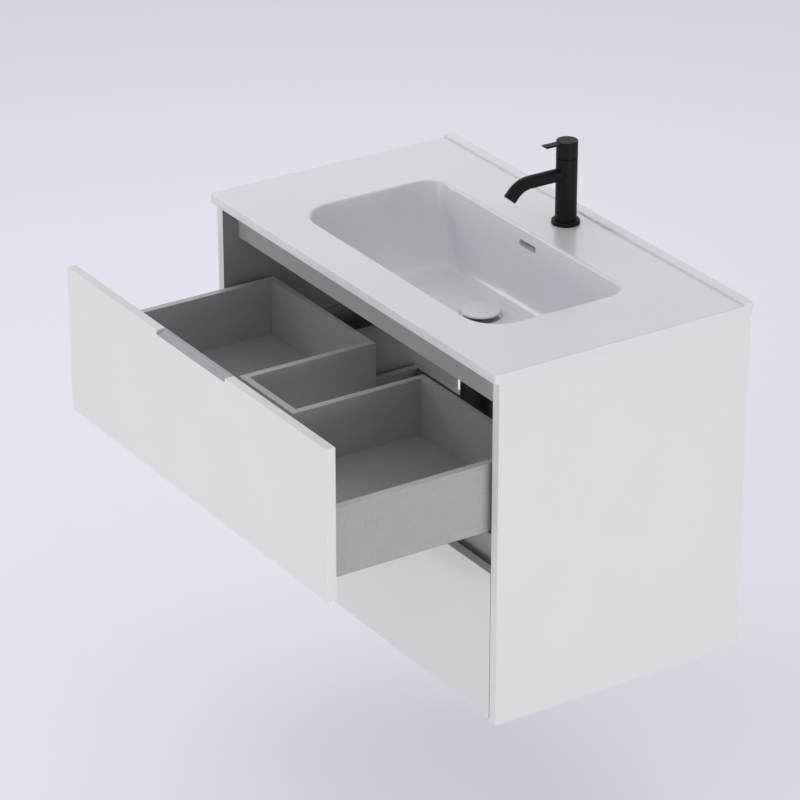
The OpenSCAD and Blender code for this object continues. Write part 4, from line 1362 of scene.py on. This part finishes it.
@dataclass
class WasteAndTrap:
    """The waste with its cover, and the bottle trap below it.

    Attributes:
        edge: radius of their edges.
        bright: the chrome-plated pieces.
        moulded: the trap's pieces.
    """

    edge: float = 0.5 * MM
    bright: tuple[str, ...] = ("waste_body", "waste_nut", "cover_stem")
    moulded: tuple[str, ...] = (
        "trap_inlet_nut", "trap_dip_pipe", "trap_collar_nut", "trap_bottle", "trap_cup",
        "trap_outlet_pipe", "trap_outlet_nut",
    )

    def build(self, shop: Workshop) -> None:
        """Builds and dresses the pieces.

        Args:
            shop: makes the pieces.
        """
        for node in self.bright:
            shop.soften(node, Finishes.CHROME, self.edge)
        # The trap's pieces get the near-black moulding, which is painted shade.
        for node in self.moulded:
            shop.soften(node, Finishes.TRAP, self.edge)
        shop.soften("waste_cover", Finishes.CERAMIC, self.edge)
        shop.soften("waste_gasket", Finishes.RUBBER, self.edge)


@dataclass
class Lamp:
    """One soft lamp.

    Attributes:
        name: its name.
        azimuth: where it stands round the object, in degrees, 0 in front and 90 to the right.
        elevation: its height above the horizon, in degrees.
        distance: from the object's centre, in metres.
        size: the width and height of its panel, in metres.
        power: in watts.
        spread: the angle within which its light leaves it, in degrees.
    """

    name: str
    azimuth: float
    elevation: float
    distance: float
    size: tuple[float, float]
    power: float
    spread: float = 180.0

    def build(self, centre: Vector) -> None:
        """Hangs the lamp, turned to the object.

        Args:
            centre: the object's centre.
        """
        data = bpy.data.lights.new(self.name, "AREA")
        data.energy = self.power
        data.shape = "RECTANGLE"
        data.size, data.size_y = self.size
        data.spread = math.radians(self.spread)
        hang(data, centre, sight(self.azimuth, self.elevation), self.distance)


def hang(data: bpy.types.ID, middle: Vector, back: Vector, distance: float) -> bpy.types.Object:
    """Hangs a lamp or a camera, turned to a point.

    Args:
        data: the lamp or the camera.
        middle: the point.
        back: the direction from the point to it.
        distance: from the point to it, in metres.

    Returns:
        Its object.
    """
    piece = bpy.data.objects.new(data.name, data)
    piece.location = middle + back * distance
    piece.rotation_euler = (-back).to_track_quat("-Z", "Y").to_euler()
    bpy.context.scene.collection.objects.link(piece)
    return piece


def sight(azimuth: float, elevation: float) -> Vector:
    """Gives the direction from the object to a viewer.

    Args:
        azimuth: 0 in front, 90 to the right, in degrees.
        elevation: above the horizon, in degrees.

    Returns:
        The unit vector.
    """
    around, rise = math.radians(azimuth), math.radians(elevation)
    level = math.cos(rise)
    return Vector((math.sin(around) * level, -math.cos(around) * level, math.sin(rise)))


@dataclass
class Studio:
    """The floor, the lamps, the world and the camera.

    Attributes:
        azimuth: the camera's place round the object, in degrees.
        elevation: its height above the horizon, in degrees.
        distance: from the camera to the corner that it was measured from, in metres.
        lens: its focal length, in millimetres.
        sensor: the width of its sensor, in millimetres.
        reach: how far it sees, in metres.
        corner: the top front right corner of the carcass.
        offset: how far right of and above the picture's middle that corner lies, in metres.
        floor_drop: from the object's lowest point to the floor, in metres.
        floor_size: the side of the floor, in metres.
        floor_colour: its colour, linear.
        floor_roughness: its roughness.
        floor_glow: the colour that is added to it where it is seen, linear.
        glow_strength: how much of that colour is added.
        sky_front: the colour of the light from in front and above, linear.
        sky_behind: the colour of the light from low behind, linear.
        sky_seen: the colour of the background that is seen, linear.
        sky_edge: the values between which the light turns from front to behind.
        sky_tilt: how strongly a direction's rise counts towards the front.
        lamps: the lamps.
    """

    azimuth: float = 57.18
    elevation: float = 25.6
    distance: float = 5.4746
    lens: float = 171.9
    sensor: float = 36.0
    reach: float = 100.0
    corner: Vector = field(default_factory=lambda: Vector((0.400, -0.453, 0.064)))
    offset: tuple[float, float] = (0.14258, 0.02522)
    floor_drop: float = 0.30
    floor_size: float = 40.0
    floor_colour: Colour = (0.72, 0.725, 0.77)
    floor_roughness: float = 0.8
    floor_glow: Colour = (0.62, 0.63, 0.74)
    glow_strength: float = 0.36
    sky_front: Colour = (0.56, 0.56, 0.56)
    sky_behind: Colour = (0.09, 0.095, 0.12)
    sky_seen: Colour = (0.74, 0.75, 0.82)
    sky_edge: tuple[float, float] = (0.1, 0.6)
    sky_tilt: float = 0.8
    lamps: tuple[Lamp, ...] = (
        Lamp("front", 4.0, 0.0, 3.2, (2.4, 1.6), 12.5, 110.0),
        Lamp("side", 95.0, -1.5, 3.2, (2.4, 0.9), 12.9, 110.0),
        Lamp("deck", -125.0, 38.0, 3.0, (2.4, 2.4), 13.0),
        Lamp("glint", -62.0, 30.0, 3.0, (0.7, 0.7), 9.0),
    )

    def build(self, low: Vector, high: Vector) -> None:
        """Sets up the studio round the object.

        Args:
            low: the lowest corner of the object's box.
            high: its highest corner.
        """
        scene = bpy.context.scene
        scene.view_settings.view_transform = "Standard"
        self.lay_floor(low.z - self.floor_drop)
        centre = (low + high) / 2
        for lamp in self.lamps:
            lamp.build(centre)
        scene.world = self.sky()
        self.place_camera()

    def sky(self) -> bpy.types.World:
        """Makes the soft light from all round, which is dimmer and cooler low behind the object.

        The camera, metal and glass see an even, pale background instead.

        Returns:
            The world.
        """
        world = bpy.data.worlds.new("studio")
        world.use_nodes = True
        graph = Graph(world.node_tree)
        background = world.node_tree.nodes["Background"]
        way = graph.add("ShaderNodeSeparateXYZ")
        graph.link(graph.add("ShaderNodeTexCoord").outputs["Generated"], way.inputs["Vector"])
        rise = graph.calc("MULTIPLY", way.outputs["Z"], self.sky_tilt)
        behind = graph.ranged(
            graph.calc("SUBTRACT", way.outputs["Y"], rise), self.sky_edge,
            interpolation_type="SMOOTHSTEP",
        )
        dim = graph.tint(behind, (*self.sky_front, 1.0), (*self.sky_behind, 1.0))
        shown = graph.tint(self.seen(graph), dim, (*self.sky_seen, 1.0))
        graph.link(shown, background.inputs["Color"])
        return world

    @staticmethod
    def seen(graph: Graph) -> Socket:
        """Gives 1 where the camera, metal or glass sees a surface, and 0 where it lights another.

        Args:
            graph: the tree to add to.

        Returns:
            The mask's socket.
        """
        path = graph.add("ShaderNodeLightPath")
        seen = graph.calc("MAXIMUM", path.outputs["Is Camera Ray"], path.outputs["Is Glossy Ray"])
        return graph.calc("MAXIMUM", seen, path.outputs["Is Transmission Ray"])

    def lay_floor(self, height: float) -> None:
        """Lays the floor, which isn't part of the object.

        Args:
            height: of its surface, in metres.
        """
        mesh = bmesh.new()
        bmesh.ops.create_grid(mesh, x_segments=1, y_segments=1, size=self.floor_size / 2)
        bmesh.ops.translate(mesh, verts=mesh.verts, vec=(0.0, 0.0, height))
        floor = Workshop.publish(mesh, "studio_floor")
        material = bpy.data.materials.new("floor_paint")
        material.use_nodes = True
        shader = material.node_tree.nodes["Principled BSDF"]
        shader.inputs["Base Color"].default_value = (*self.floor_colour, 1.0)
        shader.inputs["Roughness"].default_value = self.floor_roughness
        self.lift_floor(Graph(material.node_tree), shader)
        floor.data.materials.append(material)
        floor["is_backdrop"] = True

    def lift_floor(self, graph: Graph, shader: bpy.types.Node) -> None:
        """Makes the floor paler where it is seen, without lighting anything by it.

        Args:
            graph: the floor's material.
            shader: its plain shader.
        """
        glow = graph.add("ShaderNodeEmission")
        glow.inputs["Color"].default_value = (*self.floor_glow, 1.0)
        strength = graph.calc("MULTIPLY", self.seen(graph), self.glow_strength)
        graph.link(strength, glow.inputs["Strength"])
        both = graph.add("ShaderNodeAddShader")
        graph.link(shader.outputs["BSDF"], both.inputs[0])
        graph.link(glow.outputs["Emission"], both.inputs[1])
        graph.link(both.outputs["Shader"], graph.tree.nodes["Material Output"].inputs["Surface"])

    def place_camera(self) -> None:
        """Sets the camera at the photograph's viewing angle."""
        back = sight(self.azimuth, self.elevation)
        turn = math.radians(self.azimuth)
        right = Vector((math.cos(turn), math.sin(turn), 0.0))
        up = right.cross(-back)
        aim = self.corner - right * self.offset[0] - up * self.offset[1]
        data = bpy.data.cameras.new("camera")
        data.lens = self.lens
        data.sensor_width = self.sensor
        data.clip_end = self.reach
        bpy.context.scene.camera = hang(data, aim, back, self.distance)


def main() -> None:
    """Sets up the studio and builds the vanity's pieces in order."""
    logging.basicConfig(level=logging.INFO, format="%(name)s: %(message)s")
    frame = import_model()
    cad_low, cad_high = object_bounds()
    groups = frame["record"]["behaviour"]["bodies"]
    bodies = {node: body for body, members in groups.items() for node in members}
    shop = Workshop(frame["nodes"], bodies)
    Studio().build(cad_low, cad_high)
    Carcass().build(shop)
    Runners().build(shop)
    Drawer("upper", ("side_left", "side_right", "backs", "dividers", "bay_wall")).build(shop)
    Drawer("lower", ("side_left", "side_right", "back")).build(shop)
    Washbasin().build(shop)
    Tap().build(shop)
    WasteAndTrap().build(shop)


if __name__ == "__main__":
    main()
